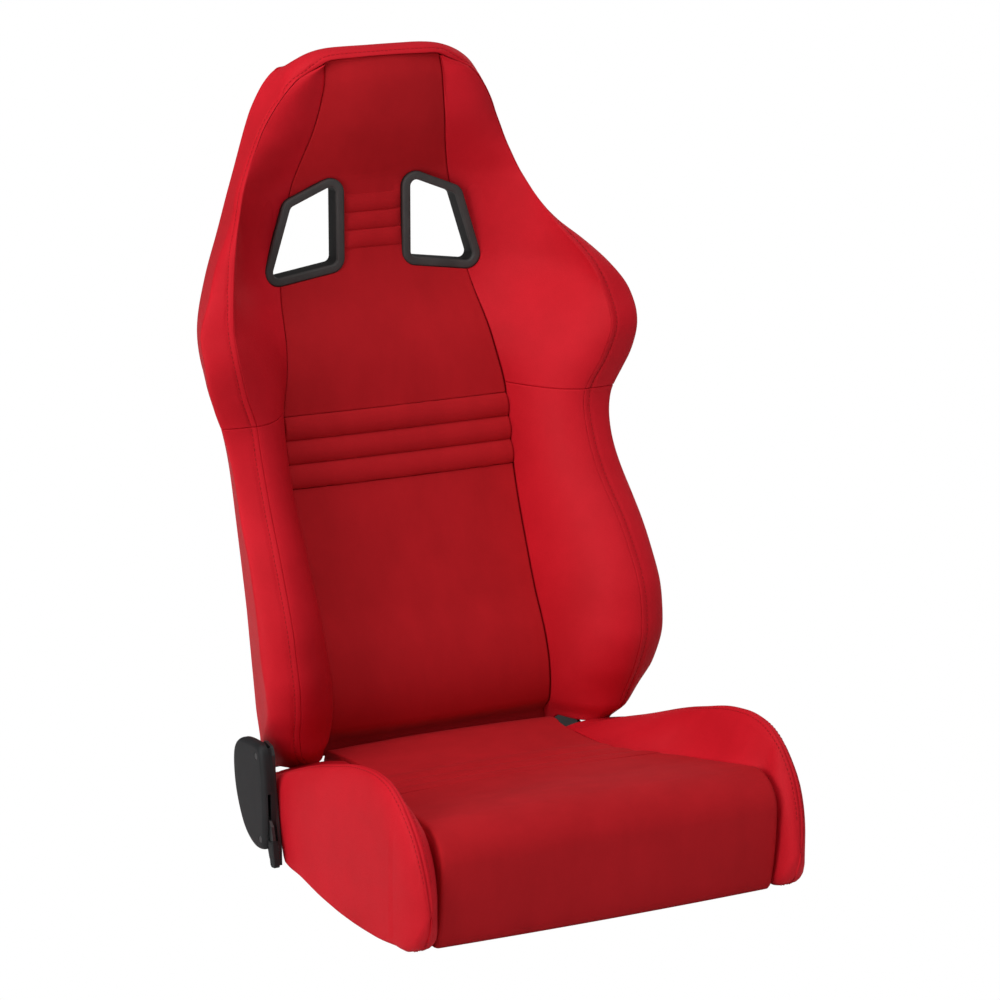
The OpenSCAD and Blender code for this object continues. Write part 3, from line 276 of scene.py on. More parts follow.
class Panel:
    # a sewn panel: a grid of points that shows, rolled under at its seams, closed behind

    def __init__(self, grid, inside, rolls=(4, 4, 4, 4), lines=(), soft=0.5, seed=1.0, shape=None):
        # rolls are the first and last column, first and last row; a line is [edge, distance, depth, width]
        self.flat = np.array(grid, float)
        self.inside = np.array(inside, float)
        self.normal = normalsOf(self.flat, self.inside)
        across, along = lengths(self.flat, 1), lengths(self.flat, 0)
        self.edge = {"left": across, "right": across[:, -1:] - across,
                     "start": along, "end": along[-1:] - along}
        drop = (roll(self.edge["left"], rolls[0]) + roll(self.edge["right"], rolls[1])
                + roll(self.edge["start"], rolls[2]) + roll(self.edge["end"], rolls[3]))
        drop = np.minimum(drop, max(1.0, max(float(np.max(r)) for r in rolls)) * 1.25)
        for edge, distance, depth, width in lines:
            drop = drop + depth * np.exp(-((self.edge[edge] - distance) / width) ** 2)
        calm = np.clip(np.minimum.reduce([self.edge[e] for e in self.edge]) / 14, 0, 1)
        drop = drop - waves(self.flat, seed, 85, soft) * calm
        drop = drop - waves(self.flat, seed + 9, 30, soft * 0.22) * calm
        if shape is not None:
            drop = drop + shape(self.flat)
        self.skin = self.flat - self.normal * drop[:, :, None]

    def line(self, edge, distance):
        # points and normals along a line at a distance from one of the panel's edges
        grids = [self.edge[edge][:, :, None], self.skin, self.normal]
        if edge in ("start", "end"):
            grids = [g.swapaxes(0, 1) for g in grids]
        if edge in ("right", "end"):
            grids = [g[:, ::-1] for g in grids]
        return sampled(grids[0][:, :, 0], grids[1:], distance)


def sampled(runs, grids, at):
    # the points of one grid and the unit normals of the other, read off each row at one distance along it
    points, normals = (np.array([[np.interp(at, run, row[:, c]) for c in range(3)]
                                 for run, row in zip(runs, grid)]) for grid in grids)
    return points, normals / np.linalg.norm(normals, axis=1, keepdims=True)


def loftMesh(rings, closed=True):
    m, n = len(rings), len(rings[0])
    verts = [list(p) for r in rings for p in r]
    faces = []
    for i in range(m - 1):
        for j in range(n if closed else n - 1):
            k = (j + 1) % n
            faces.append((i * n + j, (i + 1) * n + j, (i + 1) * n + k, i * n + k))
    if closed:
        faces.append(tuple(range(n)))
        faces.append(tuple((m - 1) * n + j for j in reversed(range(n))))
    return verts, faces


def outward(piece):
    bm = bmesh.new()
    bm.from_mesh(piece.data)
    bmesh.ops.remove_doubles(bm, verts=bm.verts, dist=0.000001)
    bmesh.ops.dissolve_degenerate(bm, dist=0.000001, edges=bm.edges)
    bmesh.ops.recalc_face_normals(bm, faces=bm.faces)
    if bm.calc_volume(signed=True) < 0:
        bmesh.ops.reverse_faces(bm, faces=bm.faces)
    bm.to_mesh(piece.data)
    bm.free()


def panelPiece(name, panel, behind, paint, body, replaced, mirrored=False, foot=None):
    # a closed solid from a panel's skin and the points behind each of its rows
    rings = [np.vstack([panel.skin[i], behind[i]]) for i in range(len(behind))]
    if foot:
        rings.insert(0, foot(rings[0]))
    if mirrored:
        rings = [r * mirror for r in rings]
    piece = makePiece(name, *loftMesh(rings), paint, body, replaced)
    return piece


def cut(piece, cutter):
    mod = piece.modifiers.new("cut", "BOOLEAN")
    mod.operation = "DIFFERENCE"
    mod.object = cutter
    mod.solver = "EXACT"
    graph = bpy.context.evaluated_depsgraph_get()
    mesh = bpy.data.meshes.new_from_object(piece.evaluated_get(graph))
    piece.modifiers.clear()
    old = piece.data
    piece.data = mesh
    bpy.data.meshes.remove(old)
    soften(piece, 50)


def tube(points, normals, radius, sides):
    # rings of a thin round thread along points
    points = np.array(points, float)
    tangent = np.gradient(points, axis=0)
    tangent /= np.maximum(np.linalg.norm(tangent, axis=1, keepdims=True), 1e-9)
    rings = []
    for p, t, n in zip(points, tangent, normals):
        b = np.cross(t, n)
        b /= max(np.linalg.norm(b), 1e-9)
        n = np.cross(b, t)
        turns = [2 * math.pi * k / sides for k in range(sides)]
        rings.append([p + radius * (math.cos(a) * n + math.sin(a) * b) for a in turns])
    return rings


stitch = {"length": 4.2, "gap": 1.6, "radius": 0.42, "sides": 5, "along": (0, 0.18, 0.5, 0.82, 1),
          "lift": (-0.45, 0.12, 0.3, 0.12, -0.45)}


def stitchRow(name, lines, body):
    # rows of thread: each stitch rises out of the cloth and dips back into it
    verts, faces = [], []
    for points, normals in lines:
        points, normals = np.array(points, float), np.array(normals, float)
        run = np.concatenate([[0], np.cumsum(np.linalg.norm(np.diff(points, axis=0), axis=1))])
        s = stitch["gap"]
        while s + stitch["length"] < run[-1] - stitch["gap"]:
            at = [s + stitch["length"] * u for u in stitch["along"]]
            p = np.array([[np.interp(a, run, points[:, c]) for c in range(3)] for a in at])
            n = np.array([[np.interp(a, run, normals[:, c]) for c in range(3)] for a in at])
            p = p + n * np.array(stitch["lift"])[:, None]
            rv, rf = loftMesh(tube(p, n, stitch["radius"], stitch["sides"]))
            faces += [tuple(i + len(verts) for i in f) for f in rf]
            verts += rv
            s += stitch["length"] + stitch["gap"]
    makePiece(name, verts, faces, thread, body, smooth=180)


# materials


class Socket:
    # an output of a node, with arithmetic

    def __init__(self, tree, socket):
        self.tree, self.socket = tree, socket

    def maths(self, op, a, b=None):
        node = self.tree.nodes.new("ShaderNodeMath")
        node.operation = op
        for k, v in enumerate((a, b)):
            if isinstance(v, Socket):
                self.tree.links.new(v.socket, node.inputs[k])
            elif v is not None:
                node.inputs[k].default_value = v
        return Socket(self.tree, node.outputs[0])

    def __add__(self, o):
        return self.maths("ADD", self, o)

    def __radd__(self, o):
        return self.maths("ADD", o, self)

    def __sub__(self, o):
        return self.maths("SUBTRACT", self, o)

    def __rsub__(self, o):
        return self.maths("SUBTRACT", o, self)

    def __mul__(self, o):
        return self.maths("MULTIPLY", self, o)

    def __rmul__(self, o):
        return self.maths("MULTIPLY", o, self)


class Paint:
    # a material under construction, with its principled shader

    def __init__(self, name, slot=None, **shader):
        self.material = bpy.data.materials.new(name)
        self.material.use_nodes = True
        self.tree = self.material.node_tree
        self.shader = next(n for n in self.tree.nodes if n.type == "BSDF_PRINCIPLED")
        for key, value in shader.items():
            self.shader.inputs[key.replace("_", " ")].default_value = value
        self.where = self.node("TexCoord", out="Object")
        self.slot = slot

    def node(self, kind, settings=(), out=0, **inputs):
        node = self.tree.nodes.new(kind if kind.startswith("ShaderNode") else "ShaderNode" + kind)
        for key, value in dict(settings).items():
            setattr(node, key, value)
        for key, value in inputs.items():
            numbered = key[0] == "i" and key[1:].isdigit()
            target = node.inputs[int(key[1:]) if numbered else key.replace("_", " ")]
            if isinstance(value, Socket):
                self.tree.links.new(value.socket, target)
            else:
                target.default_value = value
        return Socket(self.tree, node.outputs[out])

    def noise(self, scale, detail=2, rough=0.5, stretch=None):
        where = self.where
        if stretch:
            where = self.node("VectorMath", {"operation": "MULTIPLY"}, i0=where, i1=stretch)
        return self.node("TexNoise", Vector=where, Scale=scale, Detail=detail, Roughness=rough)

    def cells(self, scale, feature="F1"):
        return self.node("TexVoronoi", {"feature": feature}, Vector=self.where, Scale=scale)

    def mix(self, factor, a, b, blend="MIX"):
        return self.node("Mix", {"data_type": "RGBA", "blend_type": blend}, out=2, i0=factor, i6=a, i7=b)

    def ramp(self, value, low, high):
        return self.node("MapRange", {"clamp": True}, Value=value, From_Min=low, From_Max=high)

    def set(self, key, value):
        self.tree.links.new(value.socket, self.shader.inputs[key])

    def bump(self, height, strength, distance):
        self.set("Normal", self.node("Bump", Height=height, Strength=strength, Distance=distance))


def rgba(r, g, b):
    return (r, g, b, 1)


def shaded(tone, k):
    return rgba(*(c * k for c in tone))


def leatherPaint(name, slot, deep, bright):
    p = Paint(name, slot, Specular_IOR_Level=0.13)
    grain = p.cells(760, "DISTANCE_TO_EDGE")
    crease = p.ramp(grain, 0.0, 0.22)
    cloudy = p.noise(9, 4, 0.55)
    fine = p.noise(160, 3)
    tone = p.mix(p.ramp(cloudy, 0.32, 0.68), shaded(deep, 1), shaded(bright, 1))
    tone = p.mix((1 - crease) * 0.16, tone, rgba(deep[0] * 0.55, deep[1] * 0.5, deep[2] * 0.5))
    p.set("Base Color", tone)
    p.set("Roughness", 0.50 + cloudy * 0.12 + (1 - crease) * 0.10 + fine * 0.05)
    p.bump(crease * 0.7 + p.noise(1500, 2) * 0.25 + fine * 0.35, 0.16, 0.0006)
    return p


def suedePaint(name, slot, deep, bright):
    p = Paint(name, slot, Specular_IOR_Level=0.14, Sheen_Weight=0.035, Sheen_Roughness=0.4,
              Sheen_Tint=rgba(0.95, 0.25, 0.27))
    nap = p.noise(1300, 3, 0.6)
    brushed = p.noise(26, 4, 0.6, stretch=(1.0, 1.0, 0.35))
    patch = p.noise(7, 3)
    tone = p.mix(p.ramp(brushed * 0.6 + patch * 0.4, 0.35, 0.65), shaded(deep, 1), shaded(bright, 1))
    tone = p.mix(p.ramp(nap, 0.35, 0.7) * 0.22, tone, shaded(bright, 1.5))
    p.set("Base Color", tone)
    p.set("Roughness", 0.74 + nap * 0.16)
    p.bump(nap * 0.7 + brushed * 0.3, 0.22, 0.0006)
    return p


def plasticPaint(name, slot, tone, rough, shine=0.35, shade=None):
    # shade is the depth, in metres along y, from which the moulding is painted darker, as painted shade
    # inside a hollow such as a belt slot's tunnel
    p = Paint(name, slot, Specular_IOR_Level=shine)
    grain = p.cells(1100)
    blotch = p.noise(40, 3)
    colour = p.mix(p.ramp(blotch, 0.3, 0.7), shaded(tone, 0.85), shaded(tone, 1.15))
    if shade:
        # painted shade: past that depth the colour turns nearly black, standing in for the shade deep in the
        # tunnel
        depth = p.node("SeparateXYZ", out=1, Vector=p.where)
        colour = p.mix(p.ramp(depth, shade, shade + 0.0015), colour, shaded(tone, 0.2))
    p.set("Base Color", colour)
    p.set("Roughness", rough + grain * 0.10 + blotch * 0.06)
    p.bump(grain * 0.6 + p.noise(2200, 2) * 0.4, 0.14, 0.0004)
    return p


def metalPaint(name, slot, tone, metallic, rough, brushed=0.0):
    p = Paint(name, slot, Metallic=metallic)
    fine = p.noise(420, 3, stretch=(1, 1, 1) if not brushed else (0.08, 1, 1))
    blotch = p.noise(30, 3)
    colour = p.mix(p.ramp(blotch, 0.3, 0.7), shaded(tone, 0.82), shaded(tone, 1.12))
    p.set("Base Color", colour)
    p.set("Roughness", rough + fine * 0.12 + blotch * 0.08)
    p.bump(fine, 0.10 + brushed, 0.0003)
    return p


sideLeather = leatherPaint("sideLeather", "side_leather", (0.50, 0.006, 0.014), (0.60, 0.009, 0.020))
centreCloth = suedePaint("centreCloth", "centre_cloth", (0.36, 0.006, 0.010), (0.43, 0.008, 0.013))
thread = leatherPaint("thread", "side_leather", (0.30, 0.006, 0.010), (0.38, 0.008, 0.013))
blackPlastic = plasticPaint("blackPlastic", "black_plastic", (0.011, 0.011, 0.012), 0.5, 0.26)
# the bezel's tunnel is painted dark from 0.3650 m along y on, as painted shade
bezelPlastic = plasticPaint("bezelPlastic", "black_plastic", (0.046, 0.043, 0.042), 0.5, 0.28, shade=0.3650)
frameSteel = metalPaint("frameSteel", "frame_steel", (0.020, 0.020, 0.021), 0.0, 0.34)
zinc = metalPaint("zinc", "zinc_fastener", (0.56, 0.56, 0.55), 1.0, 0.28, 0.05)
springSteel = metalPaint("springSteel", "spring_steel", (0.16, 0.16, 0.17), 1.0, 0.36)
print("materials made")

# every CAD node that shows gets the finish of its slot
bySlot = {"black_plastic": blackPlastic, "frame_steel": frameSteel, "zinc_fastener": zinc,
          "spring_steel": springSteel, "side_leather": sideLeather, "centre_cloth": centreCloth}
for part in frame["record"]["subparts"]:
    node = frame["nodes"].get(part["node"])
    if node is not None:
        node.data.materials.clear()
        node.data.materials.append(bySlot[part["material_slot"]].material)

# belt slots

slotShape = {"corners": [[38.5, 771], [38.5, 646], [154, 629], [119.5, 738]], "round": 19, "flange": 11.2,
             "wall": 2.2, "front": 362.5, "deep": 387.5,
             # what is cut out of the pads and the rear panel: [inset of the outline, depth along y]
             "cut": [[0.5, 290], [0.5, 370.7], [7.2, 370.7], [7.2, 420]]}


def slotOutline(d, m=8):
    # the slot's outline moved in by d, with round corners, in (x, z)
    p = [np.array(c, float) for c in slotShape["corners"]]
    r = slotShape["round"] - d
    out = []
    n = len(p)
    for k in range(n):
        a, b, c = p[k - 1], p[k], p[(k + 1) % n]
        u, v = (a - b) / np.linalg.norm(a - b), (c - b) / np.linalg.norm(c - b)
        half = math.acos(np.dot(u, v)) / 2
        bis = (u + v) / np.linalg.norm(u + v)
        b = b + bis * d / math.sin(half)
        o = b + bis * r / math.sin(half)
        s, e = b + u * r / math.tan(half), b + v * r / math.tan(half)
        a0, a1 = math.atan2(*(s - o)[::-1]), math.atan2(*(e - o)[::-1])
        turn = (a1 - a0 + math.pi) % (2 * math.pi) - math.pi
        angles = [a0 + turn * i / m for i in range(m + 1)]
        out += [o + r * np.array([math.cos(t), math.sin(t)]) for t in angles]
    return out


def cutterFrom(rings):
    cutter = meshObject("cutter", *loftMesh(rings))
    outward(cutter)
    return cutter


def slotCutter(side):
    return cutterFrom([[[side * q[0], y, q[1]] for q in slotOutline(d)] for d, y in slotShape["cut"]])


cutters = {1: slotCutter(1), -1: slotCutter(-1)}


def bezel(side, word):
    # moulded frame of a belt slot with rounded lips, its tunnel and its own drafted walls
    f, w, deep = slotShape["front"], slotShape["flange"], slotShape["deep"]
    profile = [(2.8, f + 7.6), (1, f + 7.6), (0.8, f + 7), (0.8, f + 1.6), (1.2, f + 0.2), (2.2, f - 0.7),
               (3.8, f - 1), (w - 2.6, f - 1), (w - 1.2, f - 0.7), (w - 0.4, f + 0.1), (w, f + 1.4),
               (w, deep), (w - slotShape["wall"], deep)]
    rings = [[[side * q[0], y, q[1]] for q in slotOutline(d)] for d, y in profile]
    m, n = len(rings), len(rings[0])
    verts = [p for r in rings for p in r]
    faces = [(i * n + j, ((i + 1) % m) * n + j, ((i + 1) % m) * n + (j + 1) % n, i * n + (j + 1) % n)
             for i in range(m) for j in range(n)]
    makePiece("slotBezel_" + word, verts, faces, bezelPlastic, "backrest", ("slot_bezel_" + word,), smooth=40)


bezel(1, "right")
bezel(-1, "left")
print("belt slots made")

# recliner cover

cover = {"outline": [[80, 31], [106, 26], [136, 41], [158, 75], [166, 110], [162, 136], [142, 150],
                     [104, 155], [86, 151], [79, 128], [75, 90], [75, 52]],
         "lip": [[86, 151], [79, 128], [75, 90], [75, 52], [80, 31], [83, 32], [78, 53], [78, 90], [82, 127],
                 [89, 150]],
         "inX": 272.4, "lipX": 267.9, "outX": 283.5, "wall": 2.5, "corner": 7, "innerCorner": 5,
         "screws": [[96, 140], [86, 41]], "screwR": 4.5, "screwDepth": 2.4,
         "slot": [[60, 48], [90, 48], [90, 98], [60, 98]], "slotX": [271.7, 277.4]}


def shrink(loop, d):
    # the loop moved inwards by d
    t = np.roll(loop, -1, axis=0) - np.roll(loop, 1, axis=0)
    n = np.stack([-t[:, 1], t[:, 0]], axis=1)
    n /= np.linalg.norm(n, axis=1, keepdims=True)
    inwards = np.sign(((loop.mean(axis=0) - loop) * n).sum())
    return loop + inwards * n * d


def coverRings(inset, r, x0, x1):
    # a shell's rings from its open edge at x0, over a rounded corner, to its nearly flat outside at x1
    loop = np.array(spline(np.array(cover["outline"], float), True, 6))
    rings = [[[-x0, q[0], q[1]] for q in shrink(loop, inset)]]
    for k in range(0, 91, 10):
        c, s = math.cos(math.radians(k)), math.sin(math.radians(k))
        rings.append([[-(x1 - r + r * s), q[0], q[1]] for q in shrink(loop, inset + r * (1 - c))])
    flat = shrink(loop, inset + r)
    middle = flat.mean(axis=0)
    for size in (0.75, 0.4, 0.1):
        rings.append([[-(x1 + 0.5 * (1 - size)), q[0], q[1]] for q in middle + size * (flat - middle)])
    return rings


shell = coverRings(0, cover["corner"], cover["inX"], cover["outX"] - 0.4)
coverPiece = makePiece("reclinerCover", *loftMesh(shell), blackPlastic, "cushion_base",
                       ("recliner_cover",), smooth=35)
tools = [cutterFrom(coverRings(cover["wall"], cover["innerCorner"], cover["inX"] - 1, cover["outX"] - 3)),
         cutterFrom([[[-x, y, z] for y, z in cover["slot"]] for x in cover["slotX"]])]
for y0, z0 in cover["screws"]:
    turns = [a * math.pi / 12 for a in range(24)]
    ring = [[y0 + cover["screwR"] * math.cos(a), z0 + cover["screwR"] * math.sin(a)] for a in turns]
    depths = (cover["outX"] - cover["screwDepth"], cover["outX"] + 3)
    tools.append(cutterFrom([[[-x, y, z] for y, z in ring] for x in depths]))
for tool in tools:
    cut(coverPiece, tool)
    bpy.data.objects.remove(tool)
lip = [[[-x, y, z] for y, z in cover["lip"]] for x in (cover["lipX"], cover["inX"] + 1)]
makePiece("coverLip", *loftMesh(lip), blackPlastic, "cushion_base", ("recliner_cover",), smooth=35)
print("cover made")

# middle pads of the backrest


def midGrid(rows):
    grid = []
    cols = bothEnds(seamEdge, [k / 20 for k in range(-18, 19)])
    for z in rows:
        hx = backAt("panel", z) - back["seam"] / 2
        arch = back["headArch"] * rise(z, 876, 32) ** 2
        grid.append([[s * hx, midY(s * hx, z) - backAt("bulge", z) * (1 - s * s), z + arch * (1 - s * s)]
                     for s in cols])
    return np.array(grid)


def gathers(top, pitch, count, amount, reach=9):
    # small puckers that run out from each sewn line
    def shape(grid):
        out = np.zeros(grid.shape[:2])
        for i in range(grid.shape[0]):
            for j in range(grid.shape[1]):
                x, z = grid[i, j, 0], grid[i, j, 2]
                k = round((top - z) / pitch)
                near = abs(top - z - k * pitch) if 0 <= k <= count else reach
                if near < reach:
                    out[i, j] = amount * math.exp(-near / 3.5) * noise.noise(Vector((x / 5.5, k * 3.1, 0.5)))
        return out
    return shape


def midPad(name, rows, replaced, rolls, lines=(), shape=None, seed=3.0):
    grid = midGrid(rows)
    centre = grid.mean(axis=(0, 1)) + [0, 60, 0]
    panel = Panel(grid, centre, rolls, lines, soft=0.7, seed=seed, shape=shape)
    behind = [[[side * (backAt("panel", z) - 0.4), rootY(z) - 0.5, z] for side in (1, -1)] for z in rows]
    return panelPiece(name, panel, behind, centreCloth, "backrest", replaced)


def channelRows(top, pitch, count, per=12):
    rows = []
    for k in range(count, 0, -1):
        z0 = top - k * pitch
        rows += [z0 + pitch * (0.5 - 0.5 * math.cos(math.pi * i / per)) for i in range(per)]
    return rows + [top]


channelBase = back["channelTop"] - back["channelPitch"] * back["channelCount"]
lumbarRows = [88, 92, 97] + stops(101, channelBase - 0.1, 5)
midPad("lumbarPad", lumbarRows, ("lumbar_pad",), (1.8, 1.8, 0, 1.4), seed=2.0)
waistRows = channelRows(back["channelTop"], back["channelPitch"], back["channelCount"])
puckers = gathers(back["channelTop"], back["channelPitch"], back["channelCount"], 0.9)
midPad("waistChannels", waistRows, ("waist_channel_pad",), (1.8, 1.8, 0, 0), shape=puckers, seed=5.0)
neckRows = channelRows(back["neckTop"], back["neckPitch"], back["neckCount"])
upperRows = stops(back["channelTop"] + 0.1, 664, 5)[:-7] + [664, 668] + neckRows
upperRows += stops(744, back["headBase"] - 0.02, 5)[7:]
upperPiece = midPad("upperBackPad", upperRows, ("upper_back_pad",), (1.8, 1.8, 1.4, 0), seed=7.0)
midPad("headrestPad", stops(back["headBase"], 908.5, 4), ("headrest_pad",), (1.8, 1.8, 0, 0.9), seed=8.0)
for side in (1, -1):
    cut(upperPiece, cutters[side])
print("middle pads made")

# bolsters, wings and side panels of the backrest

faceCols = [0, .003, .008, .014, .022, .034, .05] + [k / 20 for k in range(2, 18)] \
    + [.90, .93, .95, .966, .978, .986, .992, .997, 1]
sideCols = [0, .004, .01, .018, .028, .04, .055, .075, .10] + [k / 40 for k in range(5, 16)] \
    + [.42, .48, .55, .62, .70, .78, .86, .92, .955, .975, .988, .995, 1]
welt = {"at": 7.5, "depth": 1.2, "width": 1.2}
weltLine = ("left", welt["at"], welt["depth"], welt["width"])
# the foot of a bolster: below top, it is drawn down by sag behind the seat's rear tube and by spread
# beside it
foot = {"top": 142, "height": 38, "sag": 17, "spread": 4, "tubeY": 184, "rearY": 254, "sideX": 186}


def footDrop(y):
    return foot["sag"] * rise(y, foot["rearY"], -30)


def lowered(grid):
    grid = np.array(grid, float)
    x, y, z = np.abs(grid[..., 0]), grid[..., 1], grid[..., 2]
    behind = rise(y, foot["tubeY"], 12)
    beside = foot["spread"] * rise(x, foot["sideX"], 6) * (1 - behind * rise(y, foot["rearY"], -30))
    grid[..., 2] = z - rise(z, foot["top"], -foot["height"]) ** 2 * (footDrop(y) * behind + beside)
    return grid


def faceFoot(ring):
    # the underside of a bolster runs straight back from its edge
    under = ring.copy()
    under[:, 1] = np.maximum(ring[:, 1], rootY(back["low"]))
    under[:, 2] = back["low"] - footDrop(under[:, 1])
    return under


def sideFoot(ring):
    # the underside of a side panel runs straight in
    under = ring.copy()
    under[:, 0] = np.abs(ring[:, 0]).min()
    return under


def facePanel(rows, rolls, seed):
    grid = lowered([[panelPoint(z, t) for t in faceCols] for z in rows])
    grid[:, 0, 0] += 0.25
    inside = grid.mean(axis=(0, 1)) + [0, 70, 0]
    return Panel(grid, inside, rolls, soft=0.6, seed=seed)


def sidePanelOf(rows, rolls, seed):
    grid = lowered([[sidePoint(z, t) for t in sideCols] for z in rows]) + [back["seam"], 0, 0]
    inside = grid.mean(axis=(0, 1)) + [-90, 0, 0]
    return Panel(grid, inside, rolls, [weltLine], soft=0.6, seed=seed)


def faceBehind(rows):
    return lowered([[[rootX(z), rootY(z) - backAt("hollow", z), z], [backAt("panel", z) + 0.4, rootY(z), z]]
                    for z in rows])


def sideBehind(rows):
    return lowered([[[backAt("rearX", z) - 1, backAt("rearY", z) - 5, z],
                     [rootX(z) + 0.5, backAt("rearY", z) - 5, z],
                     [rootX(z) + 0.5, rootY(z) - backAt("hollow", z), z]] for z in rows])


lowerRows = [back["low"] + v for v in (0, 0.5, 1.1, 1.8, 2.7, 3.8, 5.2, 7, 9.2, 12, 15.5, 19.5, 24)]
lowerRows += stops(124, back["waist"] - 0.1, 5)[5:]
wingRows = stops(back["waist"] + 0.1, 905, 5)
lowerFace = facePanel(lowerRows, (1.8, 0.6, 2.6, 1.4), 11.0)
lowerSide = sidePanelOf(lowerRows, (0.6, 2.2, 2.6, 1.4), 12.0)
wingFace = facePanel(wingRows, (1.8, 0.6, 1.4, 1.0), 13.0)
sections = [["backBolster_", "back_bolster_", lowerFace, faceBehind(lowerRows), faceFoot],
            ["backSidePanel_", "back_side_panel_", lowerSide, sideBehind(lowerRows), sideFoot],
            ["shoulderWing_", "shoulder_wing_", wingFace, faceBehind(wingRows), None]]
for side, word in ((1, "right"), (-1, "left")):
    for name, node, panel, behind, under in sections:
        piece = panelPiece(name + word, panel, behind, sideLeather, "backrest", (node + word,), side < 0,
                           foot=under)
    cut(piece, cutters[side])

# the boxing strip: up one side, over the headrest and down the other
topCrest = {"y": 329, "z": 909, "outY": 362, "rise": 2, "half": 80, "shares": (0.9, 0.6, 0.3, 0),
            "stops": [880, 890, 898],
            # a fuller corner between the side and the top: [ring, push outwards, push upwards]
            "swell": [[1, 2, 0], [2, 6.5, 2], [3, 8, 6], [4, 3, 5], [5, 0, 3], [6, 0, 2], [7, 0, 1.5]]}


def topRing(share):
    # one ring of the strip over the headrest, and the points behind it
    m = 1 - share * share
    x, cz = topCrest["half"] * share, topCrest["z"] + 3 * m
    tz = back["seatTop"] + topCrest["rise"] + 5 * m
    ry, rz = backAt("rearY", 908) + 2 * m, back["seatTop"] - 20 + 2 * m
    a, b = np.array([topCrest["y"] - 3 * m, cz]), np.array([topCrest["outY"] - 34, tz + 1])
    pts = [bezier(a, a + 0.6 * (b - a), [topCrest["outY"] + 14, tz], [ry, rz], t) for t in sideCols]
    root = rootY(905)
    behind = [[x, ry, rz - 6], [x, root + 4, rz - 2], [x, root, cz - 2]]
    return np.array([[x, q[0], q[1]] for q in pts]), np.array(behind)


def sideRings(heights):
    skin = [np.array([sidePoint(z, t) for t in sideCols]) + [0.5, 0, 0] for z in heights]
    return skin, [np.array(b) for b in sideBehind(heights)]


skinRings, behindRings = sideRings([z for z in wingRows if z < topCrest["stops"][0]])
turn, turnBehind = sideRings(topCrest["stops"])
for share in topCrest["shares"]:
    ring, behind = topRing(share)
    turn.append(ring)
    turnBehind.append(behind)
turn.insert(3, (turn[2] + turn[3]) / 2)
turnBehind.insert(3, (turnBehind[2] + turnBehind[3]) / 2)
swell = np.array([math.sin(math.pi * t / 0.9) if 0 < t < 0.9 else 0.0 for t in sideCols])[:, None]
for k, out, up in topCrest["swell"]:
    turn[k] = turn[k] + swell * [out, 0, up]
turn += [r * mirror for r in reversed(turn[:-1])]
turnBehind += [r * mirror for r in reversed(turnBehind[:-1])]
turn = spline([skinRings[-1]] + turn + [skinRings[-1] * mirror], False, 6)[1:-1]
turnBehind = spline([behindRings[-1]] + turnBehind + [behindRings[-1] * mirror], False, 6)[1:-1]
skinAll = skinRings + turn + [r * mirror for r in reversed(skinRings)]
behindAll = behindRings + turnBehind + [r * mirror for r in reversed(behindRings)]


def relax(grid, times=30):
    # evens out the strip's turn over the headrest; its front edge stays on the crest seam
    inward = eased(rise(np.array(sideCols), 0, 0.2))[None, :, None]
    share = 0.5 * (rise(grid[:, :, 2:3], 845, 35) * inward)[1:-1]
    for _ in range(times):
        grid[1:-1] += share * ((grid[:-2] + grid[2:]) / 2 - grid[1:-1])
    return grid


boxing = Panel(relax(np.array(skinAll)), np.array([0, 400, 640]), (0.6, 2.2, 1.4, 1.4),
               [weltLine], soft=0.5, seed=21.0)
panelPiece("headrestBoxing", boxing, behindAll, sideLeather, "backrest", ("headrest_boxing",))
print("bolsters and wings made")

# the rear panel, a crowned sheet with a stitched border
fourEdges = ("left", "right", "start", "end")
rearHem = 12
rearRows = stops(back["bottom"] + 4, 897, 9)
rearCols = bothEnds([1, 0.995, 0.985, 0.97, 0.94, 0.9], [k / 12 for k in range(-10, 11)])
rearGrid = []
for z in rearRows:
    hx = backAt("rearX", z) - 0.5
    rearGrid.append([[s * hx, backAt("rearY", z) + backAt("crown", z) * (1 - s ** 4), z] for s in rearCols])
rear = Panel(np.array(rearGrid), np.array([0, 250, 500]), (2.5, 2.5, 2.5, 2.5),
             [(edge, rearHem, 0.7, 1.2) for edge in fourEdges], soft=0.5, seed=31.0)
rearBehind = [row[::-1] - [0, 3, 0] for row in rear.flat]
rearPiece = panelPiece("backPanel", rear, rearBehind, sideLeather, "backrest", ("back_panel",))
for cutter in cutters.values():
    cut(rearPiece, cutter)
    bpy.data.objects.remove(cutter)

# cushion

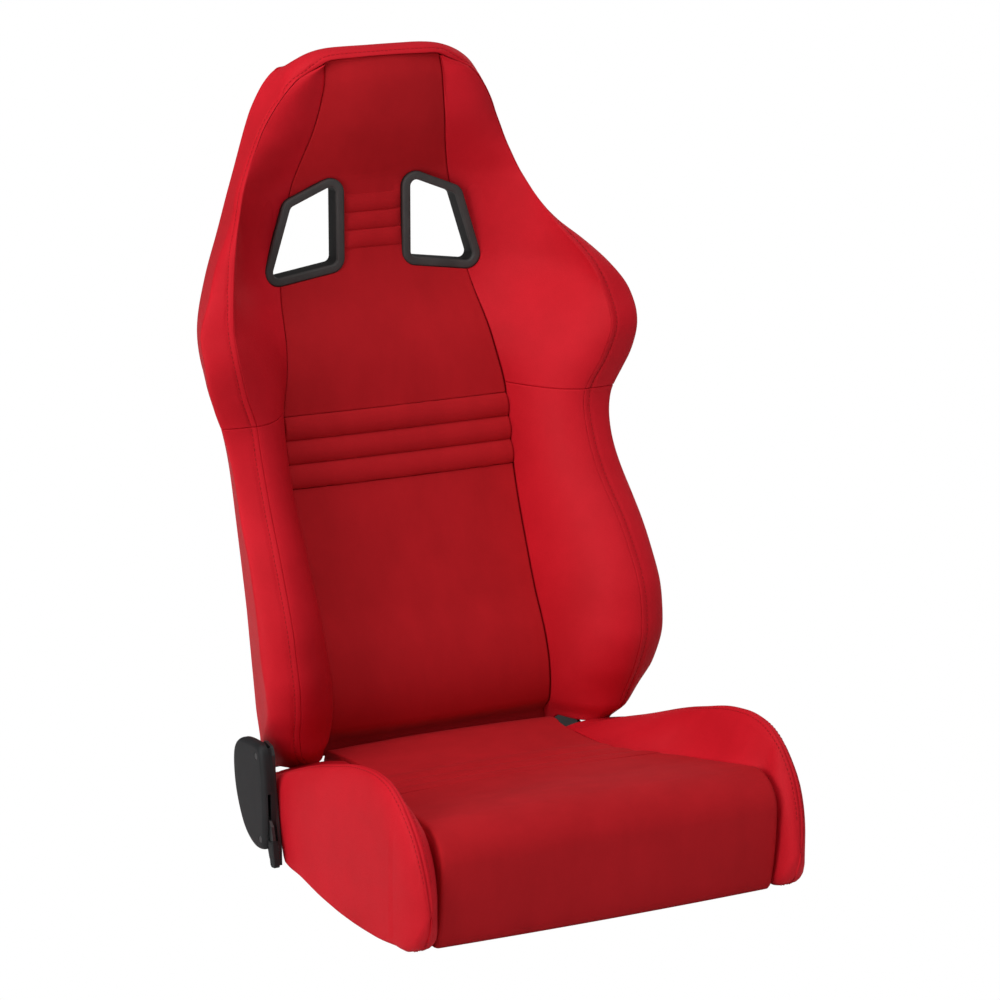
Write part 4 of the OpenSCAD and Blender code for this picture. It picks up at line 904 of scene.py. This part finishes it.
seat = {
    "padTop": [[-190, 141], [-150, 133], [-100, 122], [-31, 112], [41, 109], [100, 106], [155, 104],
        [194, 102]],
    "padX": [[-262, 215.3], [-214, 215.3], [-200, 214.1], [-185, 210.8], [-165, 206], [-100, 206],
        [-60, 200], [-31, 186], [-10, 168], [20, 150], [60, 144], [120, 144], [150, 147], [165, 151],
        [194, 152.5]],
    "rearFall": [[182, 0], [190, 5], [194, 14]],
    "split": -31, "pitch": 24, "puff": 1.5, "foam": 74, "pair": 2.2,
    "rollR": 46, "rollY": -210, "rollZ": 97, "blockHalf": 215.3, "blockFoot": 3,
    "pivot": [128, 72], "endR": 31, "skirt": 24, "crest": 241.6, "noseStart": -200, "noseBlend": -38,
    "crestTop": [[-232, 156], [-218, 168], [-189, 183], [-154, 188], [-120, 185], [-85, 178], [-38, 164],
        [9, 149], [83, 121], [128, 103]],
    "inTop": [[-240, 118], [-215, 132], [-190, 139], [-150, 133], [-100, 122], [-31, 112], [41, 109],
        [100, 105], [128, 100]],
    "out": [[-225, 256], [-190, 258], [-110, 261], [-50, 262], [60, 262], [110, 259], [128, 258]],
    "skirtZ": [[-236, 4], [-116, 2], [-35, 5], [20, 12], [64, 15], [70, 24], [84, 60], [90, 74]],
    "puffTop": [[40, 0], [100, 6], [128, 5], [140, 5.5], [150, 6], [156, 3]],
    "under": [[-214, 12], [-185, 5], [-150, 3]],
    # the rounded nose, by the angle round it in degrees
    "noseY": -214, "noseR": 58, "noseX": 235.6, "noseHalf": 20,
    "noseCrest": [[0, 170.5], [4, 168], [33.5, 140], [57.7, 108], [68.6, 92], [90, 58]],
    "noseIn": [[0, 132.5], [26.6, 118], [46.4, 100], [63.7, 84], [90, 57.5]],
    "noseLow": [[0, 3], [10, 3], [22.3, 4], [33.5, 8], [46.4, 15], [63.7, 30], [90, 56]],
}


def seatAt(key, y):
    return through(seat[key], y)


padCols = bothEnds(seamEdge, [k / 16 for k in range(-14, 15)])
padRows = [194, 193, 191, 188, 184] + [178 - 8 * k for k in range(17)]
swells = [k + 0.5 - 0.5 * math.cos(math.pi * i / 8) for k in range(3) for i in range(9)]
padRows = [y for y in padRows if y > 45] + [seat["split"] + seat["pitch"] * k for k in swells]
padRows = sorted(set(round(y, 3) for y in padRows), reverse=True)


def seatTopAt(y):
    channels = puff(y, seat["split"] + 3 * seat["pitch"], seat["pitch"], 3)
    return seatAt("padTop", y) - seatAt("rearFall", y) + seat["puff"] * channels


padGrid = []
for y in padRows:
    hx = seatAt("padX", y) - 0.25
    padGrid.append([[s * hx, y, seatTopAt(y) + 3 * (1 - s * s)] for s in padCols])


def sewnPairs(grid):
    # two rows of stitching, close together, on each sewn line of the seat
    out = np.zeros(grid.shape[:2])
    for k in range(4):
        for side in (-seat["pair"], seat["pair"]):
            out += 0.5 * np.exp(-((grid[:, :, 1] - seat["split"] - k * seat["pitch"] - side) / 0.9) ** 2)
    return out


cushion = Panel(np.array(padGrid), np.array([0, 80, 40]), (1.8, 1.8, 0, 1.2), soft=0.6, seed=41.0,
                shape=sewnPairs)
padBehind = [[[side * (seatAt("padX", y) - 0.4), y, seat["foam"]] for side in (1, -1)] for y in padRows]
panelPiece("cushionPad", cushion, padBehind, centreCloth, "cushion_base", ("cushion_pad",))

# the thigh block: [outer point, inner point, half width] down its top, round its roll and down its front
thighIn = [seat["rollY"] + 22, seat["foam"]]
thighRows = []
for y in stops(seat["split"] - 0.3, -180, 6)[:-7]:
    thighRows.append(([y, seatAt("padTop", y)], [y, seat["foam"]], seatAt("padX", y)))
for a in range(90, 181, 5):
    c, s = seat["rollR"] * math.cos(math.radians(a)), math.sin(math.radians(a))
    outer = [seat["rollY"] + c * (1 + 0.1 * s), seat["rollZ"] + seat["rollR"] * s]
    thighRows.append((outer, thighIn, seat["blockHalf"]))
for i in range(1, 17):
    u = i / 16
    outer = [seat["rollY"] - seat["rollR"] + 14 * u ** 2, seat["rollZ"] * (1 - u) + seat["blockFoot"] * u]
    inner = [thighIn[0], thighIn[1] * (1 - u) + (seat["blockFoot"] + 1) * u]
    thighRows.append((outer, inner, seat["blockHalf"]))
thighGrid, thighBehind = [], []
for o, i, hx in thighRows:
    n = (np.array(o) - i) / np.linalg.norm(np.array(o) - i)
    hx -= 0.25
    row = [(s * hx, np.array(o) + n * (4 * (1 - s * s))) for s in padCols]
    thighGrid.append([[x, q[0], q[1]] for x, q in row])
    thighBehind.append([[hx, i[0], i[1]], [-hx, i[0], i[1]]])
thigh = Panel(np.array(thighGrid), np.array([0, -150, 60]), (4.5, 4.5, 1.2, 3), soft=0.6, seed=43.0)
panelPiece("thighPad", thigh, thighBehind, centreCloth, "cushion_base", ("thigh_pad",))

# leather gussets close the sides of the thigh block
gussetShape = {"rear": -120, "seam": 4.4, "puff": 1.7, "thick": 4,
               "cols": (0, 0.01, 0.03, 0.06, 0.1, 0.16, 0.3, 0.5, 0.75, 0.98)}
for side, word in ((1, "right"), (-1, "left")):
    rings = []
    for o, i, hx in [row for row in thighRows if row[0][0] < gussetShape["rear"]][:-1]:
        o, i = np.array(o), np.array(i)
        length = np.linalg.norm(o - i)
        outer = []
        for k in gussetShape["cols"]:
            q = o + (i - o) * (k + (1 - k) * gussetShape["seam"] / length)
            sink = gussetShape["puff"] * math.exp(-k * length / 3)
            outer.append([side * (hx - sink), q[0], q[1]])
        rings.append(outer + [[side * (hx - gussetShape["thick"]), q[1], q[2]] for q in reversed(outer)])
    gusset = makePiece("thighGusset_" + word, *loftMesh(rings), sideLeather, "cushion_base", ("thigh_pad",))


def roundEnd(y):
    # the rear end turns about the recliner's pivot
    py, pz = seat["pivot"]
    return pz + math.sqrt(max(0, seat["endR"] ** 2 - max(0, y - py) ** 2))


def skirtTop(y):
    low = seatAt("skirtZ", y) + 0.5
    return max(low, low + rise(y, -204, 14) * (seat["foam"] - low))


def noseAt(y):
    return eased(rise(y, seat["noseStart"], seat["noseBlend"]))


def bolsterRow(y):
    # y, inner and outer side, inner edge, crest, foot, inner wall's foot, share of nose and the crest's x
    py = seat["pivot"][0]
    top, edge = seatAt("crestTop", y), seatAt("inTop", y)
    if y > py:
        top, edge = min(roundEnd(y), top), min(roundEnd(y) - 1, edge)
    return [y, seatAt("padX", y) + 0.4, seatAt("out", y), edge, top, seatAt("skirtZ", y), skirtTop(y),
            noseAt(y), seat["crest"]]


def noseRow(a):
    # the same, by the angle round the nose
    y = seat["noseY"] - seat["noseR"] * math.sin(math.radians(a))
    half = seat["noseHalf"] * math.cos(math.radians(a)) ** 0.85
    low = seatAt("noseLow", a)
    return [y, seat["noseX"] - half, seat["noseX"] + half, seatAt("noseIn", a), seatAt("noseCrest", a),
            low, low, noseAt(y), seat["noseX"] + 0.3 * half]


def mixed(a, b, u):
    return np.array(a, float) * (1 - u) + np.array(b, float) * u


upperCols = [0, .006, .014, .024, .038, .055, .08, .12, .18, .25, .32, .4, .5, .6, .7, .78, .84, .89, .93,
             .96, .98, .99]
outerCols = [0, .02, .04, .07, .1, .14, .18, .24, .3, .38, .46, .55, .65, .75, .85, .93, 1]
underCols = [9, 7.2, 6.6, 6, 5.4, 4.8, 3, 1.6, 0.8, 0, -0.8, -1.6, -3, -4.8, -5.4, -6, -6.6, -7.2, -9]
quarter = (0, 0.4, 0.8, 1.18, 1.57)
crestAt = len(upperCols)


def bolsterSection(row):
    # a ring in three runs: over the top to the crest, down the outside and under the foot, up the inside
    y, inner, o, edge, top, zb, zc, nose, crest = row
    mid = seat["noseX"]
    m = top - 0.45 * (top - zb)
    a = np.array([inner, edge + (m - edge) * nose])
    c = np.array([crest, top])
    b = a + mixed([0.35 * (c[0] - a[0]), 0.02 * (c[1] - a[1])], [0, 0.5 * (c[1] - a[1])], nose)
    d = c - mixed([0.3 * (c[0] - a[0]), 0], [0.75 * (c[0] - a[0]), 0], nose)
    e, f = c + [0.75 * (o - c[0]), 0], [o, m + 0.5 * (c[1] - m)]
    lift = seatAt("puffTop", y)
    upper = [bezier(a, b, d, c, t) + [0, lift * math.sin(math.pi * t ** 0.75)] for t in upperCols]
    side = [bezier(c, e, f, [o, m], t) for t in outerCols]
    r = min(seatAt("under", y), 0.6 * (o - inner), 0.8 * (m - zb))
    low = [[o, m + (zb + r - m) * t] for t in (0.3, 0.6, 0.85, 1)]
    low += [[o - r * (1 - math.cos(t)), zb + r * (1 - math.sin(t))] for t in quarter[1:]]
    ix = max(inner + 4, o - seat["skirt"])
    turned = rise(y, -196, -16)
    xe = ix + (inner + r - ix) * turned
    wide = min(1.0, max(0.01, (o - r - mid) / 9.5), max(0.01, (mid - xe) / 9.5))
    low += [[mid + k * wide, zb] for k in underCols]
    plainWall = [[ix - 2 * t, zb + (zc - zb) * t] for t in (0, 0.25, 0.5, 0.75, 1)]
    plainWall += [[ix - 2 + (inner - ix + 2) * t, zc] for t in (0.2, 0.4, 0.6, 0.8, 1)]
    plainWall += [[inner, zc + (a[1] - zc) * t] for t in (0.4, 0.8)]
    roundWall = [[inner + r * (1 - math.sin(t)), zb + r * (1 - math.cos(t))] for t in quarter]
    roundWall += [[inner, zb + r + (a[1] - zb - r) * t] for t in (0.1, 0.24, 0.38, 0.52, 0.66, 0.8, 0.92)]
    wall = mixed(plainWall, roundWall, turned)
    return [[q[0], y, q[1]] for q in upper + side + low], [[q[0], y, q[1]] for q in wall]


bolY = [158.8, 158.2, 157.2, 155.6, 153, 149.5, 145, 139.5, 134, 128, 121, 114, 107, 101, 96, 92, 90, 88,
        86, 84, 80, 76, 72, 68, 64] + [58 - 6 * k for k in range(45)] + [-209]
noseAngles = [3 * k for k in range(29)] + [86.5, 88]
bolRows = [bolsterRow(y) for y in bolY] + [noseRow(a) for a in noseAngles]
bolGrid, bolBehind = zip(*[bolsterSection(row) for row in bolRows])
noseShare = np.array([[row[7]] for row in bolRows])


def crestLines(grid):
    # welt on the crest: the seam itself and a line of thread on each side of it, down round the nose
    run = lengths(grid, 1)
    d = run - run[:, crestAt:crestAt + 1]
    under = np.abs(grid[:, :, 0] - seat["noseX"])
    below = (np.arange(grid.shape[1]) >= crestAt + len(outerCols) + 6)[None, :]
    d = np.where(below, under, np.abs(d))
    d = np.where(below & (noseShare < 0.9), 99, d)
    return 1.2 * np.exp(-(d / 1.4) ** 2) + 0.6 * np.exp(-((d - 6) / 0.9) ** 2)


bolster = Panel(bolGrid, np.array([245, -60, 70]), (3.2 * (1 - noseShare), 0, 0, 0), soft=0.6, seed=51.0,
                shape=crestLines)
for side, word in ((1, "right"), (-1, "left")):
    panelPiece("cushionBolster_" + word, bolster, bolBehind, sideLeather, "cushion_base",
               ("cushion_bolster_" + word,), side < 0)
print("cushion made")

# thread


def bothSides(line):
    p, n = line
    return [(p, n), (p * mirror, n * mirror)]


backLines = bothSides(lowerSide.line("left", welt["at"])) + [boxing.line("left", welt["at"])]
stitchRow("backStitching", backLines, "backrest")
stitchRow("rearStitching", [rear.line(edge, rearHem) for edge in fourEdges], "backrest")


def crestThread(offset):
    # a line beside the crest, from the rear end to the nose and back under it to the foot
    run = lengths(bolster.flat, 1)
    d = run - run[:, crestAt:crestAt + 1]
    last = len(bolRows) - 8
    points, normals = sampled(d[6:last], [bolster.skin[6:last], bolster.normal[6:last]], offset)
    column = crestAt + len(outerCols) + 8 + underCols.index(offset)
    under = slice(last - 1, len(bolRows) - 26, -1)
    points = np.vstack([points, bolster.skin[under, column]])
    return points, np.vstack([normals, bolster.normal[under, column]])


stitchRow("cushionStitching", bothSides(crestThread(6)) + bothSides(crestThread(-6)), "cushion_base")
print("stitching made")

# room, lights and camera

room = {"half": 8000, "floorZ": -0.5, "floorTone": 0.78, "ambient": 0.19}
white = rgba(1, 1, 1)


def byRay(owner, output, others, seen):
    # the camera meets one shader and every other ray the other; each is its kind and its inputs
    owner.use_nodes = True
    nodes, links = owner.node_tree.nodes, owner.node_tree.links
    nodes.clear()
    choose = nodes.new("ShaderNodeMixShader")
    links.new(nodes.new("ShaderNodeLightPath").outputs["Is Camera Ray"], choose.inputs[0])
    for slot, (kind, values) in enumerate((others, seen), 1):
        shader = nodes.new(kind)
        for key, value in values.items():
            shader.inputs[key].default_value = value
        links.new(shader.outputs[0], choose.inputs[slot])
    links.new(choose.outputs[0], nodes.new(output).inputs["Surface"])


around = ((-1, -1), (1, -1), (1, 1), (-1, 1))
corners = [[x * room["half"], y * room["half"], room["floorZ"]] for x, y in around]
floor = meshObject("floor", corners, [(0, 1, 2, 3)])
floorPaint = bpy.data.materials.new("floorPaint")
dull = shaded((1, 1, 1), room["floorTone"])
byRay(floorPaint, "ShaderNodeOutputMaterial", ("ShaderNodeBsdfDiffuse", {"Color": dull}),
      ("ShaderNodeEmission", {"Color": white}))
floor.data.materials.append(floorPaint)

world = bpy.data.worlds.new("room")
bpy.context.scene.world = world
byRay(world, "ShaderNodeOutputWorld", ("ShaderNodeBackground", {"Color": white, "Strength": room["ambient"]}),
      ("ShaderNodeBackground", {"Color": white, "Strength": 1}))


def softbox(name, at, aim, size, power):
    lamp = bpy.data.lights.new(name, "AREA")
    lamp.shape = "RECTANGLE"
    lamp.size, lamp.size_y = size
    lamp.energy = power
    box = place(name, lamp)
    box.location = at
    box.rotation_euler = (Vector(aim) - Vector(at)).to_track_quat("-Z", "Y").to_euler()


# name, place, what it points at, size and power
softbox("leftKey", (-3.4, -0.9, 1.5), (0, 0.1, 0.45), (2.4, 2.2), 84)
softbox("overhead", (-0.6, -0.6, 3.4), (0, 0.1, 0.3), (3.0, 2.4), 62)
softbox("frontFill", (0.6, -4.2, 2.2), (0, 0.1, 0.45), (2.5, 2.0), 16)
softbox("rightRim", (3.0, 1.6, 1.6), (0.2, 0.2, 0.5), (1.6, 2.2), 20)

lens = {"sensor": 36, "focal": 144.5, "at": (-2.0489, -3.9963, 1.6049), "down": 14.574, "round": -27}
camera = bpy.data.cameras.new("camera")
camera.sensor_width = lens["sensor"]
camera.lens = lens["focal"]
view = place("camera", camera)
view.location = lens["at"]
view.rotation_euler = (math.radians(90 - lens["down"]), 0, math.radians(lens["round"]))
bpy.context.scene.camera = view
bpy.context.scene.view_settings.view_transform = "Standard"

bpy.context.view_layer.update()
